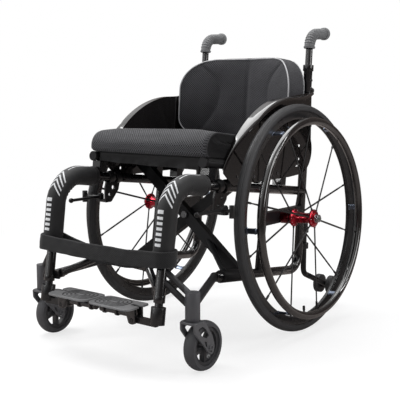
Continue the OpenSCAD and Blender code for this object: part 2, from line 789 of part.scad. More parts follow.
module guard_outline() difference() {
    union() {
        intersection() {
            translate([0, axle_z]) circle(guard_r - guard_edge);
            translate([-guard_r, guard_low]) square([guard_r + over, guard_r]);
        }
        polygon([[0, guard_low], [lobe_y, guard_low], [guard_back, lobe_z],
            [guard_back, guard_top + guard_top_rise - guard_edge], [0, guard_top - guard_edge]]);
        translate([lobe_y, lobe_z]) circle(lobe_r);
    }
    polygon([[-guard_r, guard_low - over], [nose_low_y, guard_low - over],
        [nose_high_y, nose_high_z], [-guard_r, nose_high_z]]);
    for (share = slot_shares)
        slot([slot_y - slot_l / 2, guard_at(share)], [slot_y + slot_l / 2, guard_at(share)], slot_h);
    translate([guard_hole_y, guard_hole_z]) circle(d = guard_hole_d);
}

module side_guard() color("#141210") side_plane(guard_x) {
    linear_extrude(guard_t) guard_outline();
    translate([0, axle_z, 0]) rotate([0, 0, 90 - lip_past])
        rotate_extrude(angle = lip_sweep + lip_past)
            translate([guard_r - guard_t, 0]) square([guard_t, lip_w]);
    translate([0, guard_top - guard_t + lip_step, 0]) rotate([0, 0, atan2(guard_top_rise, guard_back)])
        cube([norm([guard_back, guard_top_rise]), guard_t, lip_w - lip_step]);
}

// Brake mount under the upper tube, with the lever's pivot pin
module brake_mount() color("#1c1c20") difference() {
    face = brake_z - brake_hub_h / 2 - seat_gap;
    pivot = [frame_half + brake_out, brake_y, face];
    corner = [frame_half - brake_plate_t / 2, brake_y - brake_hub_d / 2, face - brake_base_t];
    pin_l = brake_hub_h + 2 * seat_gap;
    union() {
        translate(corner) cube([pivot.x + brake_hub_d / 2 - corner.x, brake_hub_d, brake_base_t]);
        translate(corner) cube([brake_plate_t, brake_plate_l, upper_at(brake_y) - corner.z]);
        translate(pivot) cylinder(d = brake_pin_d, h = pin_l + brake_cap_h);
        translate(pivot + [0, 0, pin_l]) cylinder(d = brake_cap_d, h = brake_cap_h);
    }
    front_bar(tube_d);
}

module brake_lever() color("#2b2c31") difference() {
    pivot = [frame_half + brake_out, brake_y, brake_z];
    shoe = [brake_shoe_x, brake_shoe_y, brake_z];
    tip = pivot - [0, brake_lever_l, 0];
    union() {
        translate(pivot) cylinder(d = brake_hub_d, h = brake_hub_h, center = true);
        rod(pivot, tip, brake_rod_d);
        translate(tip) sphere(d = brake_tip_d);
        rod(pivot, shoe, brake_rod_d);
        translate(shoe) cylinder(d = brake_shoe_d, h = brake_shoe_h, center = true);
    }
    translate(pivot) cylinder(d = brake_pin_d + 2 * run_gap, h = 2 * brake_hub_h, center = true);
}

// Push handle: its tube slides in the cane, and the grip covers its bend
cane_way = [sin(cane_lean), cos(cane_lean)];
grip_way = [sin(cane_lean + grip_tilt), cos(cane_lean + grip_tilt)];
cane_end = [cane_at(cane_top), cane_top];
bend_trim = handle_bend_r * tan(grip_tilt / 2);
grip_start = cane_end + cane_way * handle_show;
handle_corner = grip_start + cane_way * (bend_trim + handle_rise);
grip_end = handle_corner + grip_way * (bend_trim + grip_l);
handle_path = [grip_start, handle_corner, grip_end];
handle_end_d = inner_tube_d - 2 * handle_end_step;

module push_tube() color("#121316") {
    cane_bar(cane_top - handle_inside, cane_top, inner_tube_d);
    side_plane(frame_half) {
        bent([cane_end - cane_way * over, grip_start], handle_bend_r, inner_tube_d - 2 * handle_bare_step);
        bent(longer(handle_path, over, 0), handle_bend_r, handle_end_d);
    }
}

module push_grip() color("#6d6e71") side_plane(frame_half) difference() {
    union() {
        bent(longer(handle_path, -over, 0), handle_bend_r, grip_d);
        bent([grip_end - grip_way * grip_end_l, grip_end + grip_way * grip_wall],
            handle_bend_r, grip_end_d);
        bent([grip_start, grip_start + cane_way * grip_wall], handle_bend_r, grip_d + grip_wall);
    }
    bent(longer(handle_path, over, 0), handle_bend_r, handle_end_d);
}

module height_knob() color("#0e0e10") {
    y = cane_at(knob_z);
    screw_l = tube_wall + knob_stand - seat_gap;
    along_y([frame_half, y + tube_bore / 2 + seat_gap, knob_z], knob_screw_d, screw_l);
    along_y([frame_half, y + tube_d / 2 + knob_stand, knob_z], knob_d, knob_l);
}

// Cross brace: a bar hinged on one lower rail, its end shaped round the seat rail that it carries
rail_front = along_rail(-seat_reach);
rail_back = along_rail(seat_back);
rail_bore = seat_rail_d - 2 * seat_rail_wall;

module brace_bar(t, sleeve, leg) difference() {
    foot = [-frame_half, t, 0];
    way = [cos(brace_angle), 0, sin(brace_angle)];
    union() {
        translate(foot) rotate([0, -brace_angle, 0]) translate([0, -brace_t / 2, -brace_h / 2])
            cube([brace_l - bar_end, brace_t, brace_h]);
        along_y([-frame_half, sleeve[0], 0], tube_d + 2 * sleeve_wall, sleeve[1] - sleeve[0]);
        if (leg)
            rod([-frame_half, sleeve[0] + brace_leg_d, tube_d / 2],
                foot + way * brace_l * brace_leg_share, brace_leg_d);
    }
    along_y([-frame_half, -brace_reach, 0], tube_d + 2 * run_gap, 2 * brace_reach);
    along_y([0, -brace_reach, brace_seat_h / 2], brace_bolt_d + 2 * run_gap, 2 * brace_reach);
    along_y([frame_half, rail_front, brace_seat_h], seat_rail_d + 2 * seat_gap, rail_back - rail_front);
}

module seat_rail() translate([frame_half, 0, brace_seat_h]) {
    start = rail_front + rail_cap_l;
    difference() {
        along_y([0, start, 0], seat_rail_d, rail_back - start);
        along_y([0, start - over, 0], rail_bore, rail_back - start + 2 * over);
    }
    along_y([0, rail_front, 0], seat_rail_d + 2 * rail_cap_wall, rail_cap_l - seat_gap);
    along_y([0, rail_front, 0], rail_bore - 2 * seat_gap, rail_cap_l + rail_plug_l);
}

module brace(t, sleeve, leg) {
    brace_bar(t, sleeve, leg);
    seat_rail();
}

module brace_front() color("#1d1e22") brace_place() mirror([1, 0, 0])
    brace(-brace_mid, front_sleeve, true);
module brace_rear() color("#1d1e22") brace_place() brace(brace_mid, rear_sleeve, false);

module brace_bolt() color("#2c2d31") brace_place() {
    half = brace_t + brace_gap / 2 + seat_gap;
    along_y([0, -half - bolt_head_h, brace_seat_h / 2], brace_bolt_d, 2 * (half + bolt_head_h));
    for (y = [-half - bolt_head_h, half]) along_y([0, y, brace_seat_h / 2], bolt_head_d, bolt_head_h);
}

// Seat sling on the rails, with a hem that hangs between them at the front
sling_low = brace_seat_h + seat_rail_d / 2 + seat_gap;

module seat_sling() color("#232428") brace_place() {
    front = rail_front + rail_cap_l + sling_edge;
    half = frame_half + seat_rail_d / 2;
    inside = saddle_in - sling_edge;
    translate([-half, front, sling_low]) cube([2 * half, rail_back - sling_edge - front, sling_t]);
    translate([-inside, front, sling_low - sling_hem_h]) cube([2 * inside, sling_t, sling_hem_h]);
}

// A closed skin over two grids of (n + 1) by (m + 1) points, one outside and one inside
function spot_at(i, j, m) = i * (m + 1) + j;
module two_sided(outside, inside, n, m) {
    far = (n + 1) * (m + 1);
    cells = [for (i = [0 : n - 1], j = [0 : m - 1])
        [spot_at(i, j, m), spot_at(i, j + 1, m), spot_at(i + 1, j + 1, m), spot_at(i + 1, j, m)]];
    edges = concat(
        [for (i = [0 : n - 1]) [spot_at(i, 0, m), spot_at(i + 1, 0, m)]],
        [for (i = [0 : n - 1]) [spot_at(i + 1, m, m), spot_at(i, m, m)]],
        [for (j = [0 : m - 1]) [spot_at(0, j + 1, m), spot_at(0, j, m)]],
        [for (j = [0 : m - 1]) [spot_at(n, j, m), spot_at(n, j + 1, m)]]);
    polyhedron(concat(outside, inside), concat(
        [for (c = cells) each [[c[0], c[1], c[2]], [c[0], c[2], c[3]]]],
        [for (c = cells) each [[c[2], c[1], c[0]] + far * [1, 1, 1], [c[3], c[2], c[0]] + far * [1, 1, 1]]],
        [for (e = edges) each [[e[0], e[1], e[1] + far], [e[0], e[1] + far, e[0] + far]]]));
}
function even(i, n) = 2 * i / n - 1;
function close_ends(i, n) = sin(90 * even(i, n));
function swell(a) = 1 - pow(a, swell_power);
function corner_in(a, b, s) = 1 - s * pow(a * b, corner_power);

// Seat cushion: a in X and b in Y, both from -1 to 1
cushion_mid_y = along_rail(-cushion_front) + cushion_l / 2;
function drawn(a) = 1 - cushion_pull_share * (1 - a * a);
function cushion_plan(a, b) = [cushion_w * a * drawn(b), cushion_l * b * drawn(a)] / 2
    * corner_in(a, b, cushion_corner_share);
function nose(b) = b < 0 ? sqrt(1 - pow(b, cushion_nose_power)) : 1;
function cushion_rise(a, b) = cushion_t
    * (cushion_side_share + (1 - cushion_side_share) * swell(a))
    * (cushion_nose_share + (1 - cushion_nose_share) * nose(b));

module seat_cushion() color("#2b2b30") brace_place() {
    n = cushion_steps;
    waist = 1 - cushion_waist_share;
    spots = [for (i = [0 : n], j = [0 : n]) [close_ends(i, n), close_ends(j, n)]];
    translate([0, cushion_mid_y, sling_low + sling_t + seat_gap]) two_sided(
        [for (p = spots) concat(cushion_plan(p.x, p.y), [cushion_rise(p.x, p.y)])],
        [for (p = spots) concat(cushion_plan(p.x, p.y) * waist, [0])], n, n);
}

// Back cushion: a in X and b in Z, both from -1 to 1
function back_face(a, b) = [back_w * a, back_h * b] / 2 * corner_in(a, b, back_corner_share)
    + [0, back_z + back_h / 2];
function back_rear(z) = cane_at(z) - tube_d / 2 - collar_wall - seat_gap;
function dip(off, w) = exp(-pow(off / w, 2));
function back_crease(a) = back_groove * dip(a, back_groove_w_share)
    + wing_groove * dip(abs(a) - wing_groove_share, wing_groove_w_share);
function back_depth(a, b) = (back_t + wing_depth * pow(abs(a), wing_power) - back_crease(a))
    * (back_edge_share + (1 - back_edge_share) * swell(b));

module back_cushion() color("#2a2a2f") {
    n = back_steps;
    m = back_steps / 2;
    spots = [for (i = [0 : n], j = [0 : m]) [even(i, n), even(j, m)]];
    faces = [for (p = spots) back_face(p.x, p.y)];
    two_sided(
        [for (k = [0 : len(spots) - 1]) let (f = faces[k])
            [f.x, back_rear(f.y) - back_depth(spots[k].x, spots[k].y), f.y]],
        [for (f = faces) [f.x, back_rear(f.y), f.y]], n, m);
}

// Calf strap: one loop of webbing round both sleeves, slacker behind the legs
// Its stations are [x, y, outward direction, drop], counterclockwise from above
strap_r = (sleeve_d + strap_t) / 2 + strap_ease;
function strap_run(s, sag, n) = [for (i = [0 : n - 1]) let (a = even(i, n))
    [s * frame_half * a, -s * strap_r, [0, -s], sag * (1 - a * a)]];
function strap_wrap(s, n) = [for (i = [0 : n - 1]) let (a = i * 180 / n - s * 90)
    [s * frame_half + strap_r * cos(a), strap_r * sin(a), [cos(a), sin(a)], 0]];
function strap_edge(s, out, up) = let (z = strap_z - s[3] + up * strap_h / 2)
    [s[0] + s[2].x * out * strap_t / 2, leg_at(z) + s[1] + s[2].y * out * strap_t / 2, z];

module calf_strap() color("#212125") {
    n = strap_steps;
    stations = concat(
        strap_run(1, strap_sag, n), strap_wrap(1, n), strap_run(-1, strap_back_sag, n), strap_wrap(-1, n));
    count = len(stations);
    corners = [[1, 1], [1, -1], [-1, -1], [-1, 1]];
    polyhedron(
        [for (s = stations, c = corners) strap_edge(s, c.x, c.y)],
        [for (k = [0 : count - 1], c = [0 : 3])
            let (a = 4 * k, b = 4 * ((k + 1) % count), d = (c + 1) % 4)
                each [[a + c, b + c, b + d], [a + c, b + d, a + d]]]);
}

// Anti-tip wheels on a tube that swings in two lugs behind the left cane
module anti_tip_clamp() color("#1c1c20") difference() {
    for (z = lug_zs) {
        translate([frame_half, tip_y, z]) cylinder(d = lug_d, h = lug_h);
        translate([frame_half - lug_w / 2, cane_at(z), z]) cube([lug_w, tip_y - cane_at(z), lug_h]);
    }
    main_bar(tube_d);
    translate([frame_half, tip_y, 0]) cylinder(d = tip_tube_d + 2 * run_gap, h = cane_top);
}

module anti_tip_tube() color("#2a2b2f") {
    cap_x = tip_boss_l / 2 + tip_wheel_w + 2 * seat_gap;
    collar_low = lug_zs[1] + lug_h + seat_gap;
    side_plane(frame_half)
        bent([[tip_y, tip_high], [tip_y, tip_turn_z], [tip_back, tip_z]], tip_bend_r, tip_tube_d);
    translate([frame_half, tip_y, collar_low]) cylinder(d = tip_collar_d, h = tip_high - collar_low);
    along_x([frame_half - tip_boss_l / 2, tip_back, tip_z], tip_boss_d, tip_boss_l);
    along_x([frame_half - cap_x, tip_back, tip_z], tip_axle_d, 2 * cap_x);
    for (x = [-cap_x - tip_cap_h, cap_x]) along_x([frame_half + x, tip_back, tip_z], tip_cap_d, tip_cap_h);
}

module anti_tip_wheels() color("#18181a")
    for (s = [-1, 1])
        translate([frame_half + s * (tip_boss_l / 2 + seat_gap + tip_wheel_w / 2), tip_back, tip_z])
            rotate([0, 90, 0]) ring(tip_wheel_d, tip_axle_d + 2 * run_gap, tip_wheel_w);

left() front_tube();  // front_tube_left
right() front_tube();  // front_tube_right
left() main_tube();  // main_tube_left
right() main_tube();  // main_tube_right
left() axle_bracket();  // axle_bracket_left
right() axle_bracket();  // axle_bracket_right
left() caster_housing();  // caster_housing_left
right() caster_housing();  // caster_housing_right
left() footrest_tube();  // footrest_tube_left
right() footrest_tube();  // footrest_tube_right
left() footplate();  // footplate_left
right() footplate();  // footplate_right
left() front_arm(-1);  // front_arm_left
right() front_arm(1);  // front_arm_right
left() leg_sleeve();  // leg_sleeve_left
right() leg_sleeve();  // leg_sleeve_right
left() caster_fork();  // caster_fork_left
right() caster_fork();  // caster_fork_right
left() caster_wheel();  // caster_wheel_left
right() caster_wheel();  // caster_wheel_right
left() caster_tyre();  // caster_tyre_left
right() caster_tyre();  // caster_tyre_right
left() rear_tyre();  // rear_tyre_left
right() rear_tyre();  // rear_tyre_right
left() rear_rim();  // rear_rim_left
right() rear_rim();  // rear_rim_right
left() spokes();  // spokes_left
right() spokes();  // spokes_right
left() hub();  // hub_left
right() hub();  // hub_right
left() hub_bearings();  // hub_bearings_left
right() hub_bearings();  // hub_bearings_right
left() handrim();  // handrim_left
right() handrim();  // handrim_right
left() axle();  // axle_left
right() axle();  // axle_right
left() release_button();  // release_button_left
right() release_button();  // release_button_right
left() side_guard();  // side_guard_left
right() side_guard();  // side_guard_right
left() brake_mount();  // brake_mount_left
right() brake_mount();  // brake_mount_right
left() brake_lever();  // brake_lever_left
right() brake_lever();  // brake_lever_right
left() push_tube();  // push_tube_left
right() push_tube();  // push_tube_right
left() push_grip();  // push_grip_left
right() push_grip();  // push_grip_right
left() height_knob();  // height_knob_left
right() height_knob();  // height_knob_right
middle() brace_front();
middle() brace_rear();
middle() brace_bolt();
middle() seat_sling();
middle() seat_cushion();
middle() back_cushion();
middle() calf_strap();
middle() anti_tip_clamp();
middle() anti_tip_tube();
middle() anti_tip_wheels();
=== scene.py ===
"""Folding active wheelchair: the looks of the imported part, in metres, in the part's own frame."""
import math

import bmesh
import bpy
import numpy as np
from mathutils import Matrix, Vector, noise


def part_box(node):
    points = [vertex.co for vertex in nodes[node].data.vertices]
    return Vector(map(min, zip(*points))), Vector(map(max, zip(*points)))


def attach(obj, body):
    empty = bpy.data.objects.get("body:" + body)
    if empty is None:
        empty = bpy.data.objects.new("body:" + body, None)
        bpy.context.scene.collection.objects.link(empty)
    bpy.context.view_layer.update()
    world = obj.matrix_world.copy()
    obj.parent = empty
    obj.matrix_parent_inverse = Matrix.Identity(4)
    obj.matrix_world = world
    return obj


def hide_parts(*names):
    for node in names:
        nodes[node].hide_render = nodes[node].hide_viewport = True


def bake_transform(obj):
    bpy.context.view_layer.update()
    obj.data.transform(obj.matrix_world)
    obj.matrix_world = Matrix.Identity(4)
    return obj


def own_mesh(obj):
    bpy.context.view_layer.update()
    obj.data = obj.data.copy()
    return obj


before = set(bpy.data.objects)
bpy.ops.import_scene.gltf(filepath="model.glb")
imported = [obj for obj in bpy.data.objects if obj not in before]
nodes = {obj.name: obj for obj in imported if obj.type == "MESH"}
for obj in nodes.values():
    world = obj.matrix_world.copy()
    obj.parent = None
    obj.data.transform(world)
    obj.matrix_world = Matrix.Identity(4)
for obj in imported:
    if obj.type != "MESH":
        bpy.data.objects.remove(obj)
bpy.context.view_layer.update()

# Sizes in millimetres, and angles in degrees, as the frame has them
MM = 0.001
SIDES = {"left": 1, "right": -1}
FRAME_HALF, TUBE_R = 180, 12
SLOPE, CAMBER, CANE_LEAN, LEG_LEAN = 7, 3, 4.3, 8.5
RAIL_Z, UPPER_Z = 147, 370
CANE_Y = 96
LEG_Y, LEG_Z = -506, 153
BRACE_Y = -180
STEM_X, STEM_Y = 245, -466
X_WAY, Y_WAY, Z_WAY = Vector((1, 0, 0)), Vector((0, 1, 0)), Vector((0, 0, 1))


def middle_of(node):
    low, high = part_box(node)
    return (low + high) / 2


AXLE_Y = middle_of("rear_rim_left").y / MM


def spot(x, y, z):
    """A point given in millimetres from the rear axle's line, in the part's frame."""
    return Vector((x, y + AXLE_Y, z)) * MM


def tan(degrees):
    return math.tan(math.radians(degrees))


def cos_sin(degrees):
    turn = math.radians(degrees)
    return math.cos(turn), math.sin(turn)


def turns(count):
    """Equal turns round a circle, in radians."""
    return [2 * math.pi * k / count for k in range(count)]


def rail_at(y):
    return RAIL_Z - y * tan(SLOPE)


def upper_at(y):
    return UPPER_Z - y * tan(SLOPE)


def cane_at(z):
    return CANE_Y + (z - rail_at(CANE_Y)) * tan(CANE_LEAN)


def leg_at(z):
    return (z - LEG_Z) * tan(LEG_LEAN) + LEG_Y


def frame_of(origin, x, y, z):
    """The matrix whose columns are the three directions, at that origin."""
    return Matrix.Translation(origin) @ Matrix((x, y, z)).transposed().to_4x4()


def wheel_place(side):
    """Local X points down, and local Z outward along the cambered axle."""
    c, s = cos_sin(CAMBER)
    out = Vector((SIDES[side] * c, 0, s))
    down = Vector((SIDES[side] * s, 0, -c))
    return frame_of(middle_of("rear_rim_" + side), down, out.cross(down), out)


def seat_place():
    """Local Y runs back along the rails, and local Z stands square to them."""
    c, s = cos_sin(SLOPE)
    return frame_of(spot(0, BRACE_Y, rail_at(BRACE_Y)), X_WAY, Vector((0, c, -s)), Vector((0, s, c)))


# Materials
BLACK, WHITE = (0, 0, 0, 1), (1, 1, 1, 1)
PATCH_RANGE, PATCH_DETAIL, PATCH_COLOURS = (0.3, 0.7), 3.0, 0.12


class Nodes:
    """Short calls that add nodes to a tree."""

    def __init__(self, tree):
        self.tree = tree

    def put(self, node, values):
        for key, value in values.items():
            socket = node.inputs[key]
            if isinstance(value, bpy.types.NodeSocket):
                self.tree.links.new(value, socket)
            else:
                socket.default_value = value

    def node(self, kind, values=None, **settings):
        made = self.tree.nodes.new("ShaderNode" + kind)
        for key, value in settings.items():
            setattr(made, key, value)
        self.put(made, values or {})
        return made

    def math(self, operation, a, b=0.0):
        return self.node("Math", {0: a, 1: b}, operation=operation).outputs[0]

    def times(self, a, b):
        return self.math("MULTIPLY", a, b)

    def plus(self, a, b):
        return self.math("ADD", a, b)

    def spread(self, value, low, high, to_low=0.0, to_high=1.0):
        """value from low to high becomes to_low to to_high, held at both ends."""
        names = {"Value": value, "From Min": low, "From Max": high, "To Min": to_low, "To Max": to_high}
        return self.node("MapRange", names).outputs["Result"]

    def mix(self, share, a, b):
        made = self.node("Mix", {"Factor": share}, data_type="RGBA")
        self.put(made, {6: a, 7: b})
        return made.outputs[2]


class Paint(Nodes):
    """A material with one principled shader."""

    def __init__(self, name, colour, rough, metal=0.0, **sockets):
        self.material = bpy.data.materials.new(name)
        self.material.use_nodes = True
        super().__init__(self.material.node_tree)
        self.shader = self.tree.nodes["Principled BSDF"]
        self.colour = (*colour, 1)
        self.rough = rough
        self.put(self.shader, {"Base Color": self.colour, "Roughness": rough, "Metallic": metal})
        self.put(self.shader, {k.replace("_", " "): v for k, v in sockets.items()})

    def place(self):
        return self.node("TexCoord").outputs["Object"]

    def noise(self, size, detail=2.0):
        """Noise whose grains are about size millimetres."""
        values = {"Vector": self.place(), "Scale": 1 / (size * MM), "Detail": detail}
        return self.node("TexNoise", values).outputs["Fac"]

    def patches(self, size, low, high):
        """Values from low to high in soft patches of about size millimetres."""
        return self.spread(self.noise(size, PATCH_DETAIL), *PATCH_RANGE, low, high)

    def bump(self, height, depth, strength=1.0):
        """height from 0 to 1 stands for depth millimetres; it adds to the bumps before it."""
        last = self.shader.inputs["Normal"].links
        made = self.node("Bump", {"Height": height, "Distance": depth * MM, "Strength": strength})
        if last:
            self.put(made, {"Normal": last[0].from_socket})
        self.put(self.shader, {"Normal": made.outputs["Normal"]})

    def vary(self, size, roughs):
        """Colour and roughness wander in patches of about size millimetres."""
        patch = self.noise(size, PATCH_DETAIL)
        dark = [c * (1 - PATCH_COLOURS) for c in self.colour[:3]]
        pale = [min(1, c * (1 + PATCH_COLOURS)) for c in self.colour[:3]]
        self.put(self.shader, {
            "Base Color": self.mix(self.spread(patch, *PATCH_RANGE), (*dark, 1), (*pale, 1)),
            "Roughness": self.spread(patch, *PATCH_RANGE, self.rough - roughs, self.rough + roughs)})
        return self

    def grain(self, size, depth):
        self.bump(self.noise(size), depth)
        return self


def plain(name, colour, rough, grain, depth, metal=0.0, patch=60, roughs=0.06, **sockets):
    """A finish with a fine grain and soft patches."""
    return Paint(name, colour, rough, metal, **sockets).vary(patch, roughs).grain(grain, depth)


def mapped(paint):
    """The three parts of the cloth map that a mesh keeps at each point."""
    kept = paint.node("Attribute", attribute_name="cloth_map", attribute_type="GEOMETRY")
    return list(paint.node("SeparateXYZ", {"Vector": kept.outputs["Vector"]}).outputs)


def lattice(paint, u, v, pitch, width):
    """1 on the threads of a diamond net and 0 in its holes; u and v are in metres."""
    turn = math.pi / (pitch * MM)
    ridges = []
    for operation in ("ADD", "SUBTRACT"):
        slant = paint.times(paint.math(operation, u, v), turn)
        wave = paint.math("ABSOLUTE", paint.math("SINE", slant))
        ridges.append(paint.spread(wave, 0.0, width, 1.0, 0.0))
    return paint.math("MAXIMUM", *ridges)


def weave_of(paint, u, v, pitch):
    """Over-and-under threads of a plain weave, from 0 to 1."""
    turn = math.pi / (pitch * MM)
    a, b = (paint.math("SINE", paint.times(way, turn)) for way in (u, v))
    return paint.spread(paint.times(a, b), -0.7, 0.7)


def net_cloth(name, thread, hole, pitch, side=None):
    """Spacer mesh with a diamond net; where the third part of the map is 1 it is plain side cloth."""
    thread_width, fuzz_size, patch_size, side_pitch = 0.75, 1.4, 45, 1.6
    paint = Paint(name, thread, 0.74, Sheen_Weight=0.06, Sheen_Roughness=0.45, Specular_IOR_Level=0.2)
    u, v, panel = mapped(paint)
    net = lattice(paint, u, v, pitch, thread_width)
    shaded = paint.mix(paint.patches(patch_size, 0.85, 1.1), BLACK, paint.colour)
    cloth = paint.mix(net, (*hole, 1), shaded)
    height = paint.plus(paint.times(net, 0.8), paint.times(paint.noise(fuzz_size), 0.2))
    if side:
        weave = weave_of(paint, u, v, side_pitch)
        dark = [c * 0.6 for c in side]
        cloth = paint.mix(panel, cloth, paint.mix(weave, (*dark, 1), (*side, 1)))
        netted = paint.times(height, paint.math("SUBTRACT", 1.0, panel))
        height = paint.plus(netted, paint.times(paint.times(weave, 0.25), panel))
    paint.put(paint.shader, {"Base Color": cloth})
    paint.bump(height, 0.9, 0.8)
    return paint


def woven_cloth(name, colour, rough, pitch, depth, sheen):
    """Plain woven cloth on a piece that keeps a cloth map."""
    patch_size, fuzz_size, shade_share = 35, 2.2, 0.45
    paint = Paint(name, colour, rough, Specular_IOR_Level=0.25, Sheen_Weight=sheen)
    u, v, _ = mapped(paint)
    weave = weave_of(paint, u, v, pitch)
    base = paint.mix(paint.patches(patch_size, 0.8, 1.15), BLACK, paint.colour)
    dark = paint.mix(shade_share, base, BLACK)
    paint.put(paint.shader, {"Base Color": paint.mix(weave, dark, base)})
    paint.bump(weave, depth, 0.7)
    paint.bump(paint.noise(fuzz_size), depth, 0.5)
    return paint


# The sleeves' print, in millimetres along the leg and round it from its front; its soft edge is in metres
CHEVRON_FROM, CHEVRON_TO, CHEVRON_OUT = 94, 136, 26
CHEVRON_PITCH, CHEVRON_SHARE, CHEVRON_SLANT = 10.5, 0.38, 0.8
RUNG_FROM, RUNG_TO, RUNG_OUT, RUNG_PITCH, RUNG_SHARE = 152, 236, 8.5, 12, 0.55
STRIPE_FROM, STRIPE_TO, STRIPE_IN, STRIPE_OUT = 20, 88, 5.5, 7.5
PRINT_SOFT = 0.0004
PRINT_WHITE, SLEEVE_SHADE = (0.70, 0.71, 0.72, 1), (0.011, 0.011, 0.012, 1)


def sleeve_cloth():
    """Black stretch cloth with a plain white print of chevrons, rungs and stripes."""
    thread_pitch, worn_size, crease_size = 1.1, 1.5, 5.0
    paint = Paint("sleeve_cloth", (0.017, 0.017, 0.018), 0.58, Sheen_Weight=0.10, Sheen_Roughness=0.4,
                  Specular_IOR_Level=0.35)
    along, round_front, _ = mapped(paint)
    off = paint.math("ABSOLUTE", round_front)

    def within(value, low, high):
        rise = paint.spread(value, low - PRINT_SOFT, low + PRINT_SOFT)
        return paint.times(rise, paint.spread(value, high - PRINT_SOFT, high + PRINT_SOFT, 1.0, 0.0))

    def block(value, low, high, inner, outer):
        return paint.times(within(value, low * MM, high * MM), within(off, inner * MM, outer * MM))

    def bands(value, pitch, share):
        return within(paint.math("FRACT", paint.math("DIVIDE", value, pitch * MM)), 0.0, share)

    point = paint.math("SUBTRACT", along, paint.times(off, CHEVRON_SLANT))
    chevrons = paint.times(block(point, CHEVRON_FROM, CHEVRON_TO, 0, CHEVRON_OUT),
                           bands(point, CHEVRON_PITCH, CHEVRON_SHARE))
    rungs = paint.times(block(along, RUNG_FROM, RUNG_TO, 0, RUNG_OUT), bands(along, RUNG_PITCH, RUNG_SHARE))
    stripes = block(along, STRIPE_FROM, STRIPE_TO, STRIPE_IN, STRIPE_OUT)
    printed = paint.math("MAXIMUM", chevrons, paint.math("MAXIMUM", rungs, stripes))
    worn = paint.spread(paint.noise(worn_size, PATCH_DETAIL), 0.25, 0.45, 0.55, 1.0)
    weave = weave_of(paint, along, round_front, thread_pitch)
    cloth = paint.mix(weave, SLEEVE_SHADE, paint.colour)
    paint.put(paint.shader, {"Base Color": paint.mix(paint.times(printed, worn), cloth, PRINT_WHITE)})
    paint.bump(weave, 0.18, 0.6)
    paint.bump(paint.noise(crease_size, PATCH_DETAIL), 0.5, 0.35)
    return paint


# Each plain finish: its name, colour, roughness, grain and depth of grain
COAT = {"Coat_Weight": 0.5, "Coat_Roughness": 0.08}
GLOSS = {"patch": 140, "roughs": 0.015, "Coat_Weight": 0.8, "Coat_Roughness": 0.03, "Coat_IOR": 1.7}
ANODISED = {"metal": 0.9, "Coat_Weight": 0.3}
paints = {
    "frame": plain("frame_coat", (0.006, 0.006, 0.007), 0.18, 1.6, 0.02, **COAT),
    "bracket": plain("bracket_coat", (0.009, 0.009, 0.010), 0.28, 1.2, 0.03),
    "housing": plain("housing_grey", (0.062, 0.062, 0.068), 0.44, 0.8, 0.05),
    "gloss": plain("guard_gloss", (0.006, 0.005, 0.005), 0.10, 40.0, 0.008, **GLOSS),
    "rim": plain("rim_black", (0.012, 0.012, 0.013), 0.28, 2.0, 0.02),
    "handrim": plain("handrim_black", (0.009, 0.008, 0.008), 0.12, 30.0, 0.006, **GLOSS),
    "tab": plain("handrim_tab", (0.24, 0.28, 0.36), 0.30, 0.7, 0.02, metal=1.0),
    "spoke": plain("spoke_black", (0.010, 0.010, 0.011), 0.32, 1.0, 0.02),
    "fork": plain("fork_grey", (0.075, 0.075, 0.080), 0.40, 0.8, 0.05),
    "caster": plain("caster_plastic", (0.030, 0.030, 0.033), 0.42, 0.7, 0.04),
    "button": plain("button_grey", (0.20, 0.20, 0.19), 0.40, 0.6, 0.03, metal=0.6),
    "steel": plain("axle_steel", (0.55, 0.56, 0.58), 0.26, 0.8, 0.01, metal=1.0),
    "bolt": plain("bolt_black", (0.16, 0.16, 0.165), 0.30, 0.6, 0.02, metal=0.9),
    "footplate": plain("footplate_plastic", (0.165, 0.166, 0.170), 0.36, 0.9, 0.08),
    "brace": plain("brace_black", (0.008, 0.008, 0.009), 0.46, 1.0, 0.03, Specular_IOR_Level=0.2),
    "brake": plain("brake_black", (0.009, 0.009, 0.010), 0.36, 0.9, 0.04),
    "knob": plain("knob_plastic", (0.010, 0.010, 0.011), 0.45, 0.8, 0.05),
    "grip": plain("grip_rubber", (0.140, 0.142, 0.145), 0.62, 0.8, 0.10),
    "tip": plain("tip_rubber", (0.024, 0.024, 0.025), 0.60, 1.0, 0.08),
    "tyre": plain("tyre_rubber", (0.029, 0.029, 0.031), 0.58, 1.0, 0.07),
    "caster_tyre": plain("caster_rubber", (0.048, 0.048, 0.052), 0.55, 1.0, 0.07),
    "hub": plain("hub_red", (0.42, 0.010, 0.026), 0.24, 0.5, 0.015, **ANODISED),
    "collar": plain("collar_red", (0.16, 0.006, 0.012), 0.28, 0.5, 0.015, **ANODISED),
    "piping": plain("piping_grey", (0.42, 0.42, 0.43), 0.55, 1.0, 0.10),
    "binding": plain("binding_grey", (0.030, 0.030, 0.033), 0.7, 0.8, 0.10),
}
POST_R, POST_SOFT = 18.2, 0.4


def grey_post(paint, dark):
    """Keeps a node's colour near the caster stems, and gives what leads away from them a dark coat."""
    x, y, _ = paint.node("SeparateXYZ", {"Vector": paint.place()}).outputs
    off_x = paint.math("SUBTRACT", paint.math("ABSOLUTE", x), STEM_X * MM)
    off_y = paint.math("SUBTRACT", y, (STEM_Y + AXLE_Y) * MM)
    off = paint.math("SQRT", paint.plus(paint.times(off_x, off_x), paint.times(off_y, off_y)))
    away = paint.spread(off, (POST_R - POST_SOFT) * MM, (POST_R + POST_SOFT) * MM)
    base = paint.shader.inputs["Base Color"].links[0].from_socket
    paint.put(paint.shader, {"Base Color": paint.mix(away, base, (*dark, 1))})


